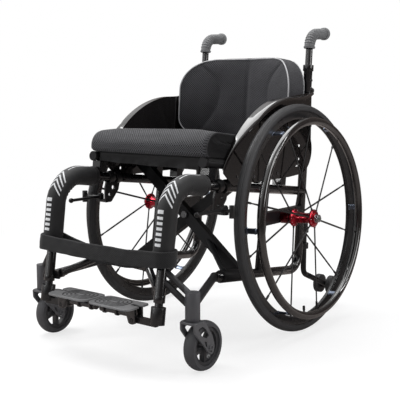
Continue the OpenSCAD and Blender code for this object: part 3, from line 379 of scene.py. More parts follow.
grey_post(paints["housing"], (0.016, 0.016, 0.018))
seat_net = net_cloth("cushion_mesh", (0.122, 0.122, 0.131), (0.002, 0.002, 0.002), 7.0,
                     (0.004, 0.004, 0.005))
back_net = net_cloth("back_mesh", (0.100, 0.099, 0.108), (0.010, 0.010, 0.011), 6.4)
sling_cloth = woven_cloth("sling_cloth", (0.008, 0.008, 0.009), 0.6, 1.4, 0.25, 0.04)
strap_cloth = woven_cloth("strap_cloth", (0.016, 0.016, 0.017), 0.8, 2.4, 0.5, 0.12)
sleeve_print = sleeve_cloth()


# Meshes
class Shape:
    """Vertices and faces gathered from simple forms, in metres."""

    def __init__(self):
        self.verts = []
        self.faces = []

    def rings(self, rings, closed=False):
        """Joins rings of equal count, in order, with a face over each open end."""
        base, n = len(self.verts), len(rings[0])
        self.verts += [Vector(p) for ring in rings for p in ring]
        count = len(rings) if closed else len(rings) - 1
        for i in range(count):
            a, b = base + i * n, base + (i + 1) % len(rings) * n
            self.faces += [[a + k, a + (k + 1) % n, b + (k + 1) % n, b + k] for k in range(n)]
        if not closed:
            self.faces.append([base + k for k in reversed(range(n))])
            self.faces.append([base + (len(rings) - 1) * n + k for k in range(n)])
        return self

    def lathe(self, profile, place, sides, closed=False):
        """profile holds (radius, height) in millimetres, about the place's Z."""
        self.rings([[place @ (Vector((r * math.cos(t), r * math.sin(t), z)) * MM) for t in turns(sides)]
                    for r, z in profile], closed)
        return self

    def tube(self, points, radius, sides, closed=False):
        """radius in millimetres, or a function of the distance along in millimetres and the turn round."""
        ways, ups = ways_along(points, closed)
        rings, gone = [], 0.0
        for i, p in enumerate(points):
            gone += (p - points[i - 1]).length / MM if i else 0.0
            out = ways[i].cross(ups[i])
            rings.append([p + (ups[i] * math.cos(t) + out * math.sin(t))
                          * (radius(gone, t) if callable(radius) else radius) * MM for t in turns(sides)])
        return self.rings(rings, closed)

    def make(self, name, paint, body=None, slot=None, sharp=38, place=None):
        """Adds the object; edges over sharp degrees stay crisp."""
        mesh = bpy.data.meshes.new(name)
        mesh.from_pydata([tuple(v) for v in self.verts], [], self.faces)
        shell = bmesh.new()
        shell.from_mesh(mesh)
        bmesh.ops.recalc_face_normals(shell, faces=shell.faces)
        shell.to_mesh(mesh)
        shell.free()
        mesh.polygons.foreach_set("use_smooth", [True] * len(mesh.polygons))
        mesh.set_sharp_from_angle(angle=math.radians(sharp))
        mesh.materials.append(paint.material)
        made = bpy.data.objects.new(name, mesh)
        bpy.context.scene.collection.objects.link(made)
        if place:
            made.matrix_world = place
        if body:
            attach(made, body)
        return made


def ways_along(points, closed=False):
    """The direction at each point, and a direction square to it that turns as little as it can."""
    n = len(points)
    ways = []
    for i in range(n):
        a = points[i - 1] if closed or i else points[i]
        b = points[(i + 1) % n] if closed or i < n - 1 else points[i]
        ways.append((b - a).normalized())
    first = min((X_WAY, Y_WAY, Z_WAY), key=lambda v: abs(v.dot(ways[0])))
    ups = [(first - ways[0] * first.dot(ways[0])).normalized()]
    for way in ways[1:]:
        ups.append((ups[-1] - way * ups[-1].dot(way)).normalized())
    return ways, ups


def keep_map(obj, values):
    """Keeps a vector at each vertex, which its cloth's threads follow."""
    kept = obj.data.attributes.new("cloth_map", "FLOAT_VECTOR", "POINT")
    kept.data.foreach_set("vector", np.asarray(values, np.float32).ravel())


def line(a, b, n):
    """n points from a towards b, without b."""
    return [(a[0] + (b[0] - a[0]) * k / n, a[1] + (b[1] - a[1]) * k / n) for k in range(n)]


def arc(middle, r, start, end, n):
    """n points of an arc in millimetres, without its last one; angles in degrees."""
    ways = [cos_sin(start + (end - start) * k / n) for k in range(n)]
    return [(middle[0] + r * c, middle[1] + r * s) for c, s in ways]


def circle(u, v, r):
    return arc((u, v), r, 0, 360, 24)


def lengths(points):
    """How far along a path each point is."""
    gone = [0.0]
    for a, b in zip(points, points[1:]):
        gone.append(gone[-1] + math.dist(a, b))
    return gone


def bent_path(a, b, c, r, step):
    """Points every step along a to b to c, all flat (y, z) in millimetres, with radius r at b."""
    a, b, c = (Vector(p) for p in (a, b, c))
    u, w = (b - a).normalized(), (c - b).normalized()
    turn = u.angle_signed(w)
    trim = r * math.tan(abs(turn) / 2)
    start, end = b - u * trim, b + w * trim
    hub = start + Vector((-u.y, u.x)) * (-r if turn > 0 else r)
    straights = []
    for p, q in ((a, start), (end, c)):
        n = max(2, round((q - p).length / step))
        straights.append([p.lerp(q, k / n) for k in range(n + 1)])
    n = max(3, round(abs(turn) * r / step))
    bend = [hub + Matrix.Rotation(-turn * k / n, 2) @ (start - hub) for k in range(1, n)]
    return straights[0] + bend + straights[1]


def in_side(points, x):
    return [spot(x, p[0], p[1]) for p in points]


def fuller(value, power):
    """Makes a wave between -1 and 1 squarer, where power is under 1."""
    return math.copysign(abs(value) ** power, value)


# Wheels, in their own frames
TYRE_MID, TYRE_R, TYRE_REACH = 287, 13, 112
GROOVES, GROOVE_DEPTH = (10, 12, 28, 30), 1.0
WALL_LINE, WALL_RISE = (66, 68, 70), 0.5
RIM_BED, RIM_IN, RIM_HALF, NOSE_HALF = 281.8, 259.8, 10, 5.5
HANDRIM_R, HANDRIM_TUBE, HANDRIM_OUT = 254, 10, 40
TABS, TAB_INSET = 6, 11
TAB_STRIP = [(5, 9.0, 3.4), (6, 9.0, 3.4), (7, 7.0, 2.6), (26, 7.0, 2.6), (29, 8.0, 3.4), (34, 6.0, 3.4)]
SPOKES, SPOKE_R, SPOKE_SINK, BLADE_HALF, BLADE_DEEP = 12, 1.9, 5, 2.6, 1.8
FLANGE_R, FLANGE_OUT, FLANGE_IN = 18.5, 37, -21
HUB = [(11.6, -30), (14, -30), (15, -29), (15, -26), (18, -25.6), (22.6, -24), (23.5, -23.2), (23.5, -18.8),
       (22.6, -18), (18, -16.6), (15, -13), (13.6, -8), (13.6, -4), (14.6, -3), (14.6, 3), (13.6, 4),
       (13.2, 14), (13.6, 24), (15, 29), (18, 32.6), (22.6, 34), (23.5, 34.8), (23.5, 39.2), (22.6, 40),
       (18, 41.4), (15, 42), (15, 45), (14, 46), (11.6, 46)]
HUB_BOLT_R, HUB_BOLT_Z = 20, (40, -18)
VALVE = [(3, -2), (3, 10), (3.6, 10.5), (3.6, 20), (3, 22), (1, 22.6)]
WHEEL_SIDES = 180


def tyre_profile():
    """A round section with fine grooves on the tread and a raised line on each wall."""
    points = []
    for angle in range(-TYRE_REACH, TYRE_REACH + 1, 2):
        r = TYRE_R - GROOVE_DEPTH * (abs(angle) in GROOVES) + WALL_RISE * (abs(angle) in WALL_LINE)
        c, s = cos_sin(angle)
        points.append((TYRE_MID + r * c, r * s))
    return points


def rim_profile():
    half = [(RIM_BED, RIM_HALF), (RIM_BED - 2, RIM_HALF + 0.1), (RIM_BED - 6, RIM_HALF - 1),
            (RIM_IN + 6, NOSE_HALF + 1), (RIM_IN + 2, NOSE_HALF - 0.6), (RIM_IN + 0.4, NOSE_HALF - 2.2),
            (RIM_IN, 1)]
    return half + [(r, -z) for r, z in reversed(half)]


def blade(shape, foot, head):
    """A flat spoke between round ends, with its nipple at the rim."""
    way = (head - foot).normalized()
    flat = way.cross(Z_WAY).normalized()
    thin = way.cross(flat)
    long = (head - foot).length

    def ring(at, wide, deep, sides):
        return [(foot + way * at + flat * wide * math.cos(t) + thin * deep * math.sin(t)) * MM
                for t in turns(sides)]

    flats = [(at, BLADE_HALF, BLADE_DEEP) for at in (30, long - 46)]
    ends = [(at, SPOKE_R, SPOKE_R) for at in (0, 14, long - 30, long)]
    shape.rings([ring(*station, 12) for station in ends[:2] + flats + ends[2:]])
    for start, end, r in ((long - 18, long - 6, 3.0), (long - 6, long, 2.6), (0, 9, 2.7)):
        shape.rings([ring(at, r, r, 6) for at in (start, end)])


def rear_wheel(side):
    place, body = wheel_place(side), "rear_wheel_" + side
    here = Matrix.Identity(4)

    def turned(k, count):
        return Matrix.Rotation(math.radians(k * 360 / count), 4, "Z")

    def put(shape, name, paint, node, slot):
        made = shape.make(name + "_" + side + "_look", paints[paint], body, slot, place=place)
        if node:
            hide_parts(node + "_" + side)

    put(Shape().lathe(tyre_profile(), here, WHEEL_SIDES, True), "tyre", "tyre", "rear_tyre", "tyre_rubber")
    put(Shape().lathe(rim_profile(), here, WHEEL_SIDES, True), "rim", "rim", "rear_rim", "rim_black")
    ring = arc((HANDRIM_R, HANDRIM_OUT), HANDRIM_TUBE, 0, 360, 36)
    put(Shape().lathe(ring, here, WHEEL_SIDES, True), "handrim", "handrim", "handrim", "handrim_black")
    tabs = Shape()
    tab_r = (HANDRIM_R + RIM_BED - TAB_INSET) / 2
    for k in range(TABS):
        tab = turned(k + 0.5, TABS) @ Matrix.Translation((tab_r * MM, 0, 0))
        tabs.rings([[tab @ (Vector((thick * math.sin(t), wide * fuller(math.cos(t), 0.4), z)) * MM)
                     for t in turns(24)] for z, wide, thick in TAB_STRIP])
    put(tabs, "handrim_tabs", "tab", None, "handrim_black")
    blades = Shape()
    for k in range(SPOKES):
        way = Vector((*cos_sin((k + 0.5) * 360 / SPOKES), 0))
        flange = Z_WAY * (FLANGE_IN if k % 2 else FLANGE_OUT)
        blade(blades, way * FLANGE_R + flange, way * (RIM_IN + SPOKE_SINK))
    put(blades, "spokes", "spoke", "spokes", "spoke_black")
    put(Shape().lathe(HUB, here, 64, True), "hub", "hub", "hub", "hub_red")
    bolts = Shape()
    for k in range(SPOKES):
        bolt = turned(k, SPOKES) @ Matrix.Translation((HUB_BOLT_R * MM, 0, 0))
        for z in HUB_BOLT_Z:
            bolts.lathe([(1.2, z - 1), (1.6, z + 0.4), (1.0, z + 0.8)], bolt, 8)
    put(bolts, "hub_bolts", "steel", None, "axle_steel")
    stem = Matrix.Translation((RIM_IN * MM, 0, 0)) @ Matrix.Rotation(math.radians(-90), 4, "Y")
    put(Shape().lathe(VALVE, stem, 16), "valve", "knob", None, "rim_black")


# Flat plates with round edges
PLATE_SHARP = 20
TRIM_SHARE = 0.48
PLATE_WELD = 0.02


def rounded(corners, n=5):
    """A closed outline round corners given as (u, v, radius) in millimetres."""
    out = []
    for k, (u, v, r) in enumerate(corners):
        b = Vector((u, v))
        before = b - Vector(corners[k - 1][:2])
        after = Vector(corners[(k + 1) % len(corners)][:2]) - b
        most = TRIM_SHARE * min(before.length, after.length)
        trim = min(r * math.tan(before.angle(after) / 2), most)
        start, end = b - before.normalized() * trim, b + after.normalized() * trim
        out += [start.lerp(b, i / n).lerp(b.lerp(end, i / n), i / n) for i in range(n + 1)]
    return out


def slab(low_u, low_v, high_u, high_v, r, n=5):
    """A rectangle's outline with round corners."""
    return rounded([(low_u, low_v, r), (high_u, low_v, r), (high_u, high_v, r), (low_u, high_v, r)], n)


def plate(shape, loops, thick, place, edge=0.7):
    """Adds a plate about the place's XY plane; the first loop is its outline and the others are its holes."""
    curve = bpy.data.curves.new("plate", "CURVE")
    curve.dimensions = "2D"
    curve.fill_mode = "BOTH"
    curve.extrude = (thick / 2 - edge) * MM
    curve.bevel_depth = edge * MM
    curve.bevel_resolution = 1
    for loop in loops:
        spline = curve.splines.new("POLY")
        spline.points.add(len(loop) - 1)
        for point, p in zip(spline.points, loop):
            point.co = (p[0] * MM, p[1] * MM, 0, 1)
        spline.use_cyclic_u = True
    made = bpy.data.objects.new("plate", curve)
    shell = bmesh.new()
    shell.from_mesh(made.to_mesh())
    bmesh.ops.remove_doubles(shell, verts=shell.verts, dist=PLATE_WELD * MM)
    base = len(shape.verts)
    shape.verts += [place @ v.co for v in shell.verts]
    shell.verts.index_update()
    shape.faces += [[base + v.index for v in f.verts] for f in shell.faces]
    shell.free()
    made.to_mesh_clear()
    bpy.data.objects.remove(made)
    bpy.data.curves.remove(curve)


def side_plate(x, y):
    """A place whose local X runs back, local Y runs up and local Z runs across the chair."""
    return frame_of(spot(x, y, 0), Y_WAY, Z_WAY, X_WAY)


def across(x, y, z, way=1):
    """A place whose local Z runs across the chair."""
    return frame_of(spot(x, y, z), Y_WAY * way, Z_WAY, X_WAY * way)


# Caster forks: broad leaves with windows under a rounded crown, outlined from the stem and the floor
TRAIL, CASTER_R = 38, 58
FORK_IN, FORK_T, FORK_HALF = 16.5, 5, 21.5
CROWN_LOW, CROWN_TOP, CROWN_FRONT, CROWN_BACK, CROWN_R, CROWN_EDGE = 118.2, 123.9, -20, 18, 10, 1.4
STEM_R, STEM_TOP, AXLE_R = 8, 181, 4
FORK_LEAF = [(-19, 122, 2), (17, 122, 2), (28, 107, 10), (45, 84, 12), (53, 62, 12), (51, 45, 8), (43, 39, 7),
             (31, 47, 12), (14, 67, 20), (-4, 86, 20), (-18, 103, 12)]
FORK_WINDOWS = [[(-8, 109, 4), (10, 113, 4), (22, 103, 5), (34, 86, 5), (24, 81, 4), (6, 90, 8)],
                [(15, 77, 3), (25, 74, 3), (27, 63, 3), (26, 58, 3), (22, 62, 3)],
                [(33, 47, 2), (43, 44.5, 2), (46.5, 50, 2), (39, 48.5, 3)]]
FORK_BOSS = [(4, 0), (9.5, 0), (9.5, 0.9), (8.6, 1.6), (7, 1.8), (6.9, 3.6), (6, 4.4), (3.4, 4.4),
             (3.2, 2.8), (0.6, 2.6)]
BOSS_SINK = 0.6


def caster_fork(side):
    x, body = SIDES[side] * STEM_X, "caster_fork_" + side
    shape = Shape()
    loops = [rounded(loop) for loop in [FORK_LEAF] + FORK_WINDOWS]
    for s in (1, -1):
        plate(shape, loops, FORK_T, side_plate(x + s * (FORK_IN + FORK_T / 2), STEM_Y))
        shape.lathe(FORK_BOSS, across(x + s * (FORK_HALF - BOSS_SINK), STEM_Y + TRAIL, CASTER_R, s), 32)
    crown = slab(-FORK_HALF, CROWN_FRONT, FORK_HALF, CROWN_BACK, CROWN_R)
    lift = Matrix.Translation(spot(x, STEM_Y, (CROWN_LOW + CROWN_TOP) / 2))
    plate(shape, [crown], CROWN_TOP - CROWN_LOW, lift, CROWN_EDGE)
    shape.lathe([(AXLE_R, -FORK_HALF), (AXLE_R, FORK_HALF)], across(x, STEM_Y + TRAIL, CASTER_R), 24)
    shape.lathe([(STEM_R, CROWN_LOW + 1), (STEM_R, STEM_TOP)], Matrix.Translation(spot(x, STEM_Y, 0)), 24)
    made = shape.make("caster_fork_" + side + "_look", paints["fork"], body, "housing_grey", PLATE_SHARP)
    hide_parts("caster_fork_" + side)


# Footplates: thin ribbed plates on a cross tube
PLATE_Z, PLATE_UNDER = 149, 143
TOP_T, TOP_EDGE, TOP_DOWN = 4.6, 1.2, 2.4
FOOT_X, FOOT_Y, FOOT_Z, FOOT_BORE = 116, -511.5, 116, 5.6
PLATE_IN, PLATE_OUT, PLATE_FRONT, PLATE_BACK = 4.5, 132, -46, 30
PLATE_FRONT_R, PLATE_BACK_R, SMALL_R = 20, 14, 2
NOTCH_IN, NOTCH_HALF = 104.5, 7.8
RIB_HALVES, RIB_CORNER, RIB_R, RIB_UP = ((43, 31), (34, 23), (25, 15), (16, 7)), 0.9, 1.3, 2.2
EAR_NEAR, EAR_T, EAR_HALF, EAR_FOOT, EAR_R, EAR_EDGE = 5.8, 9, 9, 22, 8.5, 0.8
BAR = [(4.5, 7), (7.6, 7), (8.2, 8), (8.2, 12), (7.7, 12.4), (7.7, 98)]
BAR_Z = 126
SADDLES, SADDLE_T, SADDLE_LOW, SADDLE_TOP, SADDLE_DROP, SADDLE_R = (22, 62), 7, 9.5, 13, 9, 8
FOOT_LAP = 1.2


def footplate(side):
    s, body = SIDES[side], "footplate_" + side
    outline = rounded([(PLATE_IN, PLATE_FRONT, PLATE_FRONT_R), (PLATE_OUT, PLATE_FRONT, PLATE_FRONT_R),
                       (PLATE_OUT, -NOTCH_HALF, SMALL_R), (NOTCH_IN, -NOTCH_HALF, SMALL_R),
                       (NOTCH_IN, NOTCH_HALF, SMALL_R), (PLATE_OUT, NOTCH_HALF, SMALL_R),
                       (PLATE_OUT, PLATE_BACK, PLATE_BACK_R), (PLATE_IN, PLATE_BACK, PLATE_BACK_R)])
    place = Matrix.Translation(spot(0, FOOT_Y, PLATE_Z - TOP_DOWN)) @ Matrix.Diagonal((s, 1, 1, 1))
    top = Shape()
    plate(top, [outline], TOP_T, place, TOP_EDGE)
    mid_x, mid_y = (PLATE_IN + NOTCH_IN) / 2, (PLATE_FRONT + PLATE_BACK) / 2
    ribs = Shape()
    for half_x, half_y in RIB_HALVES:
        corner = min(half_x, half_y) * RIB_CORNER
        loop = slab(mid_x - half_x, mid_y - half_y, mid_x + half_x, mid_y + half_y, corner, 8)
        ribs.tube([place @ (Vector((p.x, p.y, RIB_UP)) * MM) for p in loop], RIB_R, 8, closed=True)
    made = top.make("footplate_" + side + "_look", paints["footplate"], body, "footplate_plastic",
                    PLATE_SHARP)
    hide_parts("footplate_" + side)
    ribs.make("footplate_ribs_" + side, paints["tip"], body, "footplate_plastic")
    bar = Shape().lathe(BAR, across(0, FOOT_Y, BAR_Z, s), 32)
    seat, foot = PLATE_UNDER + FOOT_LAP, BAR_Z - SADDLE_DROP
    saddle = rounded([(-SADDLE_LOW, foot, SADDLE_R), (SADDLE_LOW, foot, SADDLE_R),
                      (SADDLE_TOP, seat, SMALL_R), (-SADDLE_TOP, seat, SMALL_R)])
    for x in SADDLES:
        plate(bar, [saddle], SADDLE_T, side_plate(s * x, FOOT_Y), 1.0)
    ear = rounded([(FOOT_X - EAR_FOOT, seat, SMALL_R), (FOOT_X - EAR_HALF, FOOT_Z - EAR_HALF, EAR_R),
                   (FOOT_X + EAR_HALF, FOOT_Z - EAR_HALF, EAR_R), (FOOT_X + EAR_HALF, seat, SMALL_R)])
    for way in (-1, 1):
        stand = spot(0, FOOT_Y + way * (EAR_NEAR + EAR_T / 2), 0)
        plate(bar, [ear, circle(FOOT_X, FOOT_Z, FOOT_BORE)], EAR_T, frame_of(stand, X_WAY * s, Z_WAY, Y_WAY),
              EAR_EDGE)
    bar.make("footplate_bar_" + side, paints["frame"], body, "frame_coat")


# Brake mounts: a tube clamp, a drilled plate and the lever's pivot
BRAKE_Y, BRAKE_X, BRAKE_FACE, BRAKE_T = -292, 206, 344.2, 6
BRAKE_CLAMPS = (-284, -258)
CLAMP = [(12.2, -9), (15.4, -9), (16.4, -8), (16.4, 8), (15.4, 9), (12.2, 9)]
PIVOT = [(4, -1), (4, 13.6), (7, 13.6), (7, 15.4), (6, 16.6), (3, 16.6), (2.6, 15.4), (0.5, 15.2)]
ARM_HALF, ARM_R, ARM_LAP, ARM_ROOT_R = 9, 8.5, 4, 3


def brake_mount(side):
    s = SIDES[side]
    shape = Shape()
    tilt = Matrix.Rotation(math.radians(90 + SLOPE), 4, "X")
    for y in BRAKE_CLAMPS:
        shape.lathe(CLAMP, Matrix.Translation(spot(s * FRAME_HALF, y, upper_at(y))) @ tilt, 40, True)
    low, high = BRAKE_FACE - BRAKE_T, upper_at(sum(BRAKE_CLAMPS) / 2)
    web = rounded([(-301, low, 2), (-280, low, 8), (-252, high - 34, 12), (-247, high - 13, 2),
                   (-296, high - 8, 2), (-301, high - 26, 8)])
    holes = [circle(-286, low + 20, 5), circle(-272, low + 38, 6.5)]
    plate(shape, [web] + holes, BRAKE_T, side_plate(s * FRAME_HALF, 0))
    root, tip = FRAME_HALF - ARM_LAP, BRAKE_X + ARM_HALF
    arm = rounded([(root, -ARM_HALF, ARM_ROOT_R), (tip, -ARM_HALF, ARM_R), (tip, ARM_HALF, ARM_R),
                   (root, ARM_HALF, ARM_ROOT_R)])
    flat = frame_of(spot(0, BRAKE_Y, BRAKE_FACE - BRAKE_T / 2), X_WAY * s, Y_WAY, Z_WAY)
    plate(shape, [arm], BRAKE_T, flat)
    shape.lathe(PIVOT, Matrix.Translation(spot(s * BRAKE_X, BRAKE_Y, BRAKE_FACE)), 32)
    made = shape.make("brake_mount_" + side + "_look", paints["brake"], side + "_frame", "brake_black",
                      PLATE_SHARP)
    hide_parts("brake_mount_" + side)


# Side guards: a thin plate with a lip that rolls over the tyre
GUARD_X, GUARD_T, GUARD_R, GUARD_END = 192.3, 3, 318, 153.6
GUARD_LOW, GUARD_BACK, GUARD_RISE = 404, 132.3, 12
GUARD_NOSE = [(-280, 436), (-244, 405), (-238, GUARD_LOW), (20, GUARD_LOW)]
AXLE_Z = 299.61
LIP_W, LIP_SWEEP, LIP_EASE, LIP_STEPS, LIP_T = 30, 63, 30, 60, 2.6
LIP_ROLL, ROLL_FROM, LIP_COVER = 8, 0.6, 1.5
LIP_SHARES = (0, 0.2, 0.4, 0.6, 0.72, 0.82, 0.9, 0.96, 1)
TAIL_STEPS, TAIL_NARROWS, TAIL_LEAN = 20, 20, 0.15
LOBE_Y, LOBE_Z, LOBE_R, LOBE_FROM, LOBE_TO, LOBE_END = 72, 472.4, 66, -95, 24, 500
SLOT_FRONT, SLOT_BACK, SLOT_HALF, SLOT_R, SLOTS_Z = 51, 77, 3.5, 3.4, (431.8, 448.9, 485.2)
GUARD_HOLE = (-226, 424.3, 4.5)


def side_guard(side):
    s = SIDES[side]
    top = AXLE_Z + GUARD_R
    outline = arc((0, AXLE_Z), GUARD_R - LIP_COVER, 90, GUARD_END, 40) + GUARD_NOSE
    outline += arc((LOBE_Y, LOBE_Z), LOBE_R, LOBE_FROM, LOBE_TO, 24)
    outline += [(GUARD_BACK, LOBE_END), (GUARD_BACK, top + GUARD_RISE - LIP_COVER)]
    slots = [slab(SLOT_FRONT, z - SLOT_HALF, SLOT_BACK, z + SLOT_HALF, SLOT_R) for z in SLOTS_Z]
    shape = Shape()
    plate(shape, [outline, circle(*GUARD_HOLE)] + slots, GUARD_T, side_plate(s * (GUARD_X + GUARD_T / 2), 0))
    rings = []
    for k in range(LIP_STEPS + 1):
        swept = LIP_SWEEP * k / LIP_STEPS
        ease = min(1.0, swept / LIP_EASE)
        width = GUARD_T + (LIP_W - GUARD_T) * ease * ease * (3 - 2 * ease)
        out = cos_sin(90 + LIP_SWEEP - swept)
        rings.append(lip_ring(s, (GUARD_R * out[0], AXLE_Z + GUARD_R * out[1]), out, width))
    for k in range(1, TAIL_STEPS + 1):
        share = k / TAIL_STEPS
        at = (GUARD_BACK * share, top + GUARD_RISE * share ** 2)
        rings.append(lip_ring(s, at, (-TAIL_LEAN * share, 1), LIP_W - TAIL_NARROWS * share ** 2))
    shape.rings(rings)
    made = shape.make("side_guard_" + side + "_look", paints["gloss"], side + "_frame", "guard_gloss",
                      PLATE_SHARP)
    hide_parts("side_guard_" + side)


def lip_ring(s, at, out, width):
    """The lip's section at one place: flat beside the plate, rolled down at its outer edge."""
    face, under = [], []
    for share in LIP_SHARES:
        roll = width / LIP_W * LIP_ROLL * max(0.0, (share - ROLL_FROM) / (1 - ROLL_FROM)) ** 2
        x = s * (GUARD_X + width * share)
        for loop, drop in ((face, roll), (under, roll + LIP_T)):
            loop.append(spot(x, at[0] - out[0] * drop, at[1] - out[1] * drop))
    return face + under[::-1]


# Collars and fasteners that show
COLLAR = [(15.5, -60), (16.2, -60), (16.8, -59), (16.8, -34), (16.2, -31), (15.5, -31)]
SCREW = [(1, -0.6), (1, 1.2), (0.8, 2.2), (0.5, 2.3), (0.46, 1.2)]
SCREW_SUNK, TUBE_SCREW_R, GUARD_SCREW_R = 0.6, 4.6, 4.2
CANE_SCREWS, UPPER_SCREWS, GUARD_SCREWS, GUARD_SCREW_UP = (662, 640, 470), (-120, -20), (-150, -40), 14


def axle_collar(side):
    """A red sleeve round the axle's receiver, beside the hub."""
    shape = Shape().lathe(COLLAR, wheel_place(side), 48, True)
    shape.make("axle_collar_" + side, paints["collar"], side + "_frame", "hub_red")


def bolt_heads(side):
    """Cap screws on the cane, the guard and the upper tube, seen from outside."""
    s = SIDES[side]
    heads = Shape()
    face = FRAME_HALF + TUBE_R - SCREW_SUNK
    places = [(face, cane_at(z), z, TUBE_SCREW_R) for z in CANE_SCREWS]
    places += [(GUARD_X + GUARD_T, y, GUARD_LOW + GUARD_SCREW_UP, GUARD_SCREW_R) for y in GUARD_SCREWS]
    places += [(face, y, upper_at(y), TUBE_SCREW_R) for y in UPPER_SCREWS]
    for x, y, z, r in places:
        heads.lathe([(r * share, up) for share, up in SCREW] + [(0.3, 1.1)], across(s * x, y, z, s), 20)
    heads.make("bolt_heads_" + side, paints["bolt"], side + "_frame", "bolt_black")


# Push grips with ribs between a collar and a bead
GRIP_FOOT, GRIP_RISE, GRIP_TURN, GRIP_BEND = 704, 46, 82, 38
GRIP_UP, GRIP_BACK, GRIP_STEP, GRIP_R = 6, 52, 0.75, 14.2
COLLAR_L, COLLAR_R, COLLAR_TAPER = 5, 16.6, 0.3
BEAD_L, BEAD_R, BEAD_DROP, BEAD_ROUND = 14, 17.6, 1.6, 4
GRIP_RIB_PITCH, GRIP_RIB_AT, GRIP_RIB_RISE, RIBS_FROM, RIBS_LEFT = 6.2, 14, 0.95, 11, 18


def push_grip(side):
    up, back = (Vector(reversed(cos_sin(lean))) for lean in (CANE_LEAN, CANE_LEAN + GRIP_TURN))
    start = Vector((cane_at(GRIP_FOOT), GRIP_FOOT)) + up * GRIP_RISE
    trim = GRIP_BEND * tan(GRIP_TURN / 2)
    corner = start + up * (trim + GRIP_UP)
    end = corner + back * (trim + GRIP_BACK)
    points = in_side(bent_path(start, corner, end, GRIP_BEND, GRIP_STEP), SIDES[side] * FRAME_HALF)
    length = sum((b - a).length for a, b in zip(points, points[1:])) / MM

    def radius(at, _):
        left = length - at
        if at < COLLAR_L:
            return COLLAR_R - (COLLAR_L - at) * COLLAR_TAPER
        if left < BEAD_L:
            offs = (BEAD_ROUND - left, left - BEAD_L + BEAD_ROUND)
            return BEAD_R - sum(BEAD_DROP * max(0, off / BEAD_ROUND) ** 2 for off in offs)
        if at <= RIBS_FROM or left <= RIBS_LEFT:
            return GRIP_R
        wave = math.cos(2 * math.pi * (at - GRIP_RIB_AT) / GRIP_RIB_PITCH)
        return GRIP_R + GRIP_RIB_RISE * fuller(wave, 0.5)

    shape = Shape().tube(points, radius, 40)
    made = shape.make("grip_" + side, paints["grip"], "push_handle_" + side, "grip_rubber", 60)
    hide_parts("push_grip_" + side)


# Soft pieces
SWELL_PRESSURE, SWELL_SHOTS = 4.0, 20


def rough(x, y, z=0.0):
    """Smooth noise from about -1 to 1."""
    return noise.noise(Vector((x, y, z)))


def dip(off, width):
    return math.exp(-(off / width) ** 2)


def swell(obj, held, most):
    """Fills a closed cloth as padding would; held points stay, and none moves over most millimetres."""
    mesh = obj.data
    rest = np.array([v.co for v in mesh.vertices])
    obj.vertex_groups.new(name="held").add(held, 1.0, "REPLACE")
    cloth = obj.modifiers.new("cloth", "CLOTH")
    cloth.settings.use_pressure = True
    cloth.settings.uniform_pressure_force = SWELL_PRESSURE
    cloth.settings.effector_weights.gravity = 0
    cloth.settings.vertex_group_mass = "held"
    scene = bpy.context.scene
    for shot in range(1, SWELL_SHOTS + 1):
        scene.frame_set(shot)
    shaped = obj.evaluated_get(bpy.context.evaluated_depsgraph_get())
    moved = np.array([v.co for v in shaped.data.vertices]) - rest
    far = np.linalg.norm(moved, axis=1, keepdims=True)
    moved *= np.minimum(1, most * MM / np.maximum(far, 1e-9))
    obj.modifiers.remove(cloth)
    obj.vertex_groups.clear()
    mesh.vertices.foreach_set("co", (rest + moved).ravel())
    scene.frame_set(1)


def smoother(obj):
    """One level of subdivision, applied."""
    finer = obj.modifiers.new("finer", "SUBSURF")
    finer.levels = 1
    finer.use_limit_surface = False
    graph = bpy.context.evaluated_depsgraph_get()
    smooth = obj.evaluated_get(graph)
    obj.data = bpy.data.meshes.new_from_object(smooth, preserve_all_data_layers=True, depsgraph=graph)
    obj.modifiers.clear()


def points_of(obj, picks):
    return [obj.data.vertices[k].co.copy() for k in picks]


# Leg sleeves
KNEE_R = 74
KNEE_Y = ((UPPER_Z - LEG_Z) * tan(LEG_LEAN) + LEG_Y) / (1 + tan(SLOPE) * tan(LEG_LEAN))
SLEEVE_R, SLEEVE_FROM, SLEEVE_TO, SLEEVE_STEP, SLEEVE_SIDES = 24.4, -343, 262, 2.5, 72
CREASE_AT, CREASE_SPAN, CREASE_RISE, CREASE_PITCH = 108, 34, 2.0, 2.1
HEM_L, SEAM_AT = 9, math.pi * 1.5


def leg_sleeve(side):
    """A padded tube over the knee, creased inside the bend, with a hem at each end and a seam behind."""
    path = bent_path((SLEEVE_FROM, upper_at(SLEEVE_FROM)), (KNEE_Y, upper_at(KNEE_Y)),
                     (leg_at(SLEEVE_TO), SLEEVE_TO), KNEE_R, SLEEVE_STEP)
    points = in_side(path, SIDES[side] * FRAME_HALF)
    along = lengths(path)

    def radius(at, turn):
        inside = max(0.0, -math.sin(turn)) ** 2
        waves = math.sin(at / CREASE_PITCH + rough(at / 20, SIDES[side]))
        creases = CREASE_RISE * inside * dip(at - CREASE_AT, CREASE_SPAN) * waves
        gap = min(at, along[-1] - at)
        hem = 0.9 * (gap < HEM_L) - 0.8 * dip(gap - HEM_L - 1, 1.5) - 1.2 * dip(gap, 1.5)
        bulge = 0.9 * rough(at / 36, math.cos(turn), math.sin(turn) + 4 * SIDES[side])
        seam = 0.8 * dip(turn - SEAM_AT, 0.09)
        return SLEEVE_R + creases + hem + bulge + seam

    shape = Shape().tube(points, radius, SLEEVE_SIDES)
    made = shape.make("leg_sleeve_" + side + "_look", sleeve_print, side + "_frame", "sleeve_cloth", 60)
    fronts = [(t + math.pi / 2) % (2 * math.pi) - math.pi for t in turns(SLEEVE_SIDES)]
    keep_map(made, [(at * MM, t * SLEEVE_R * MM, 0) for at in along for t in fronts])
    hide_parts("leg_sleeve_" + side)


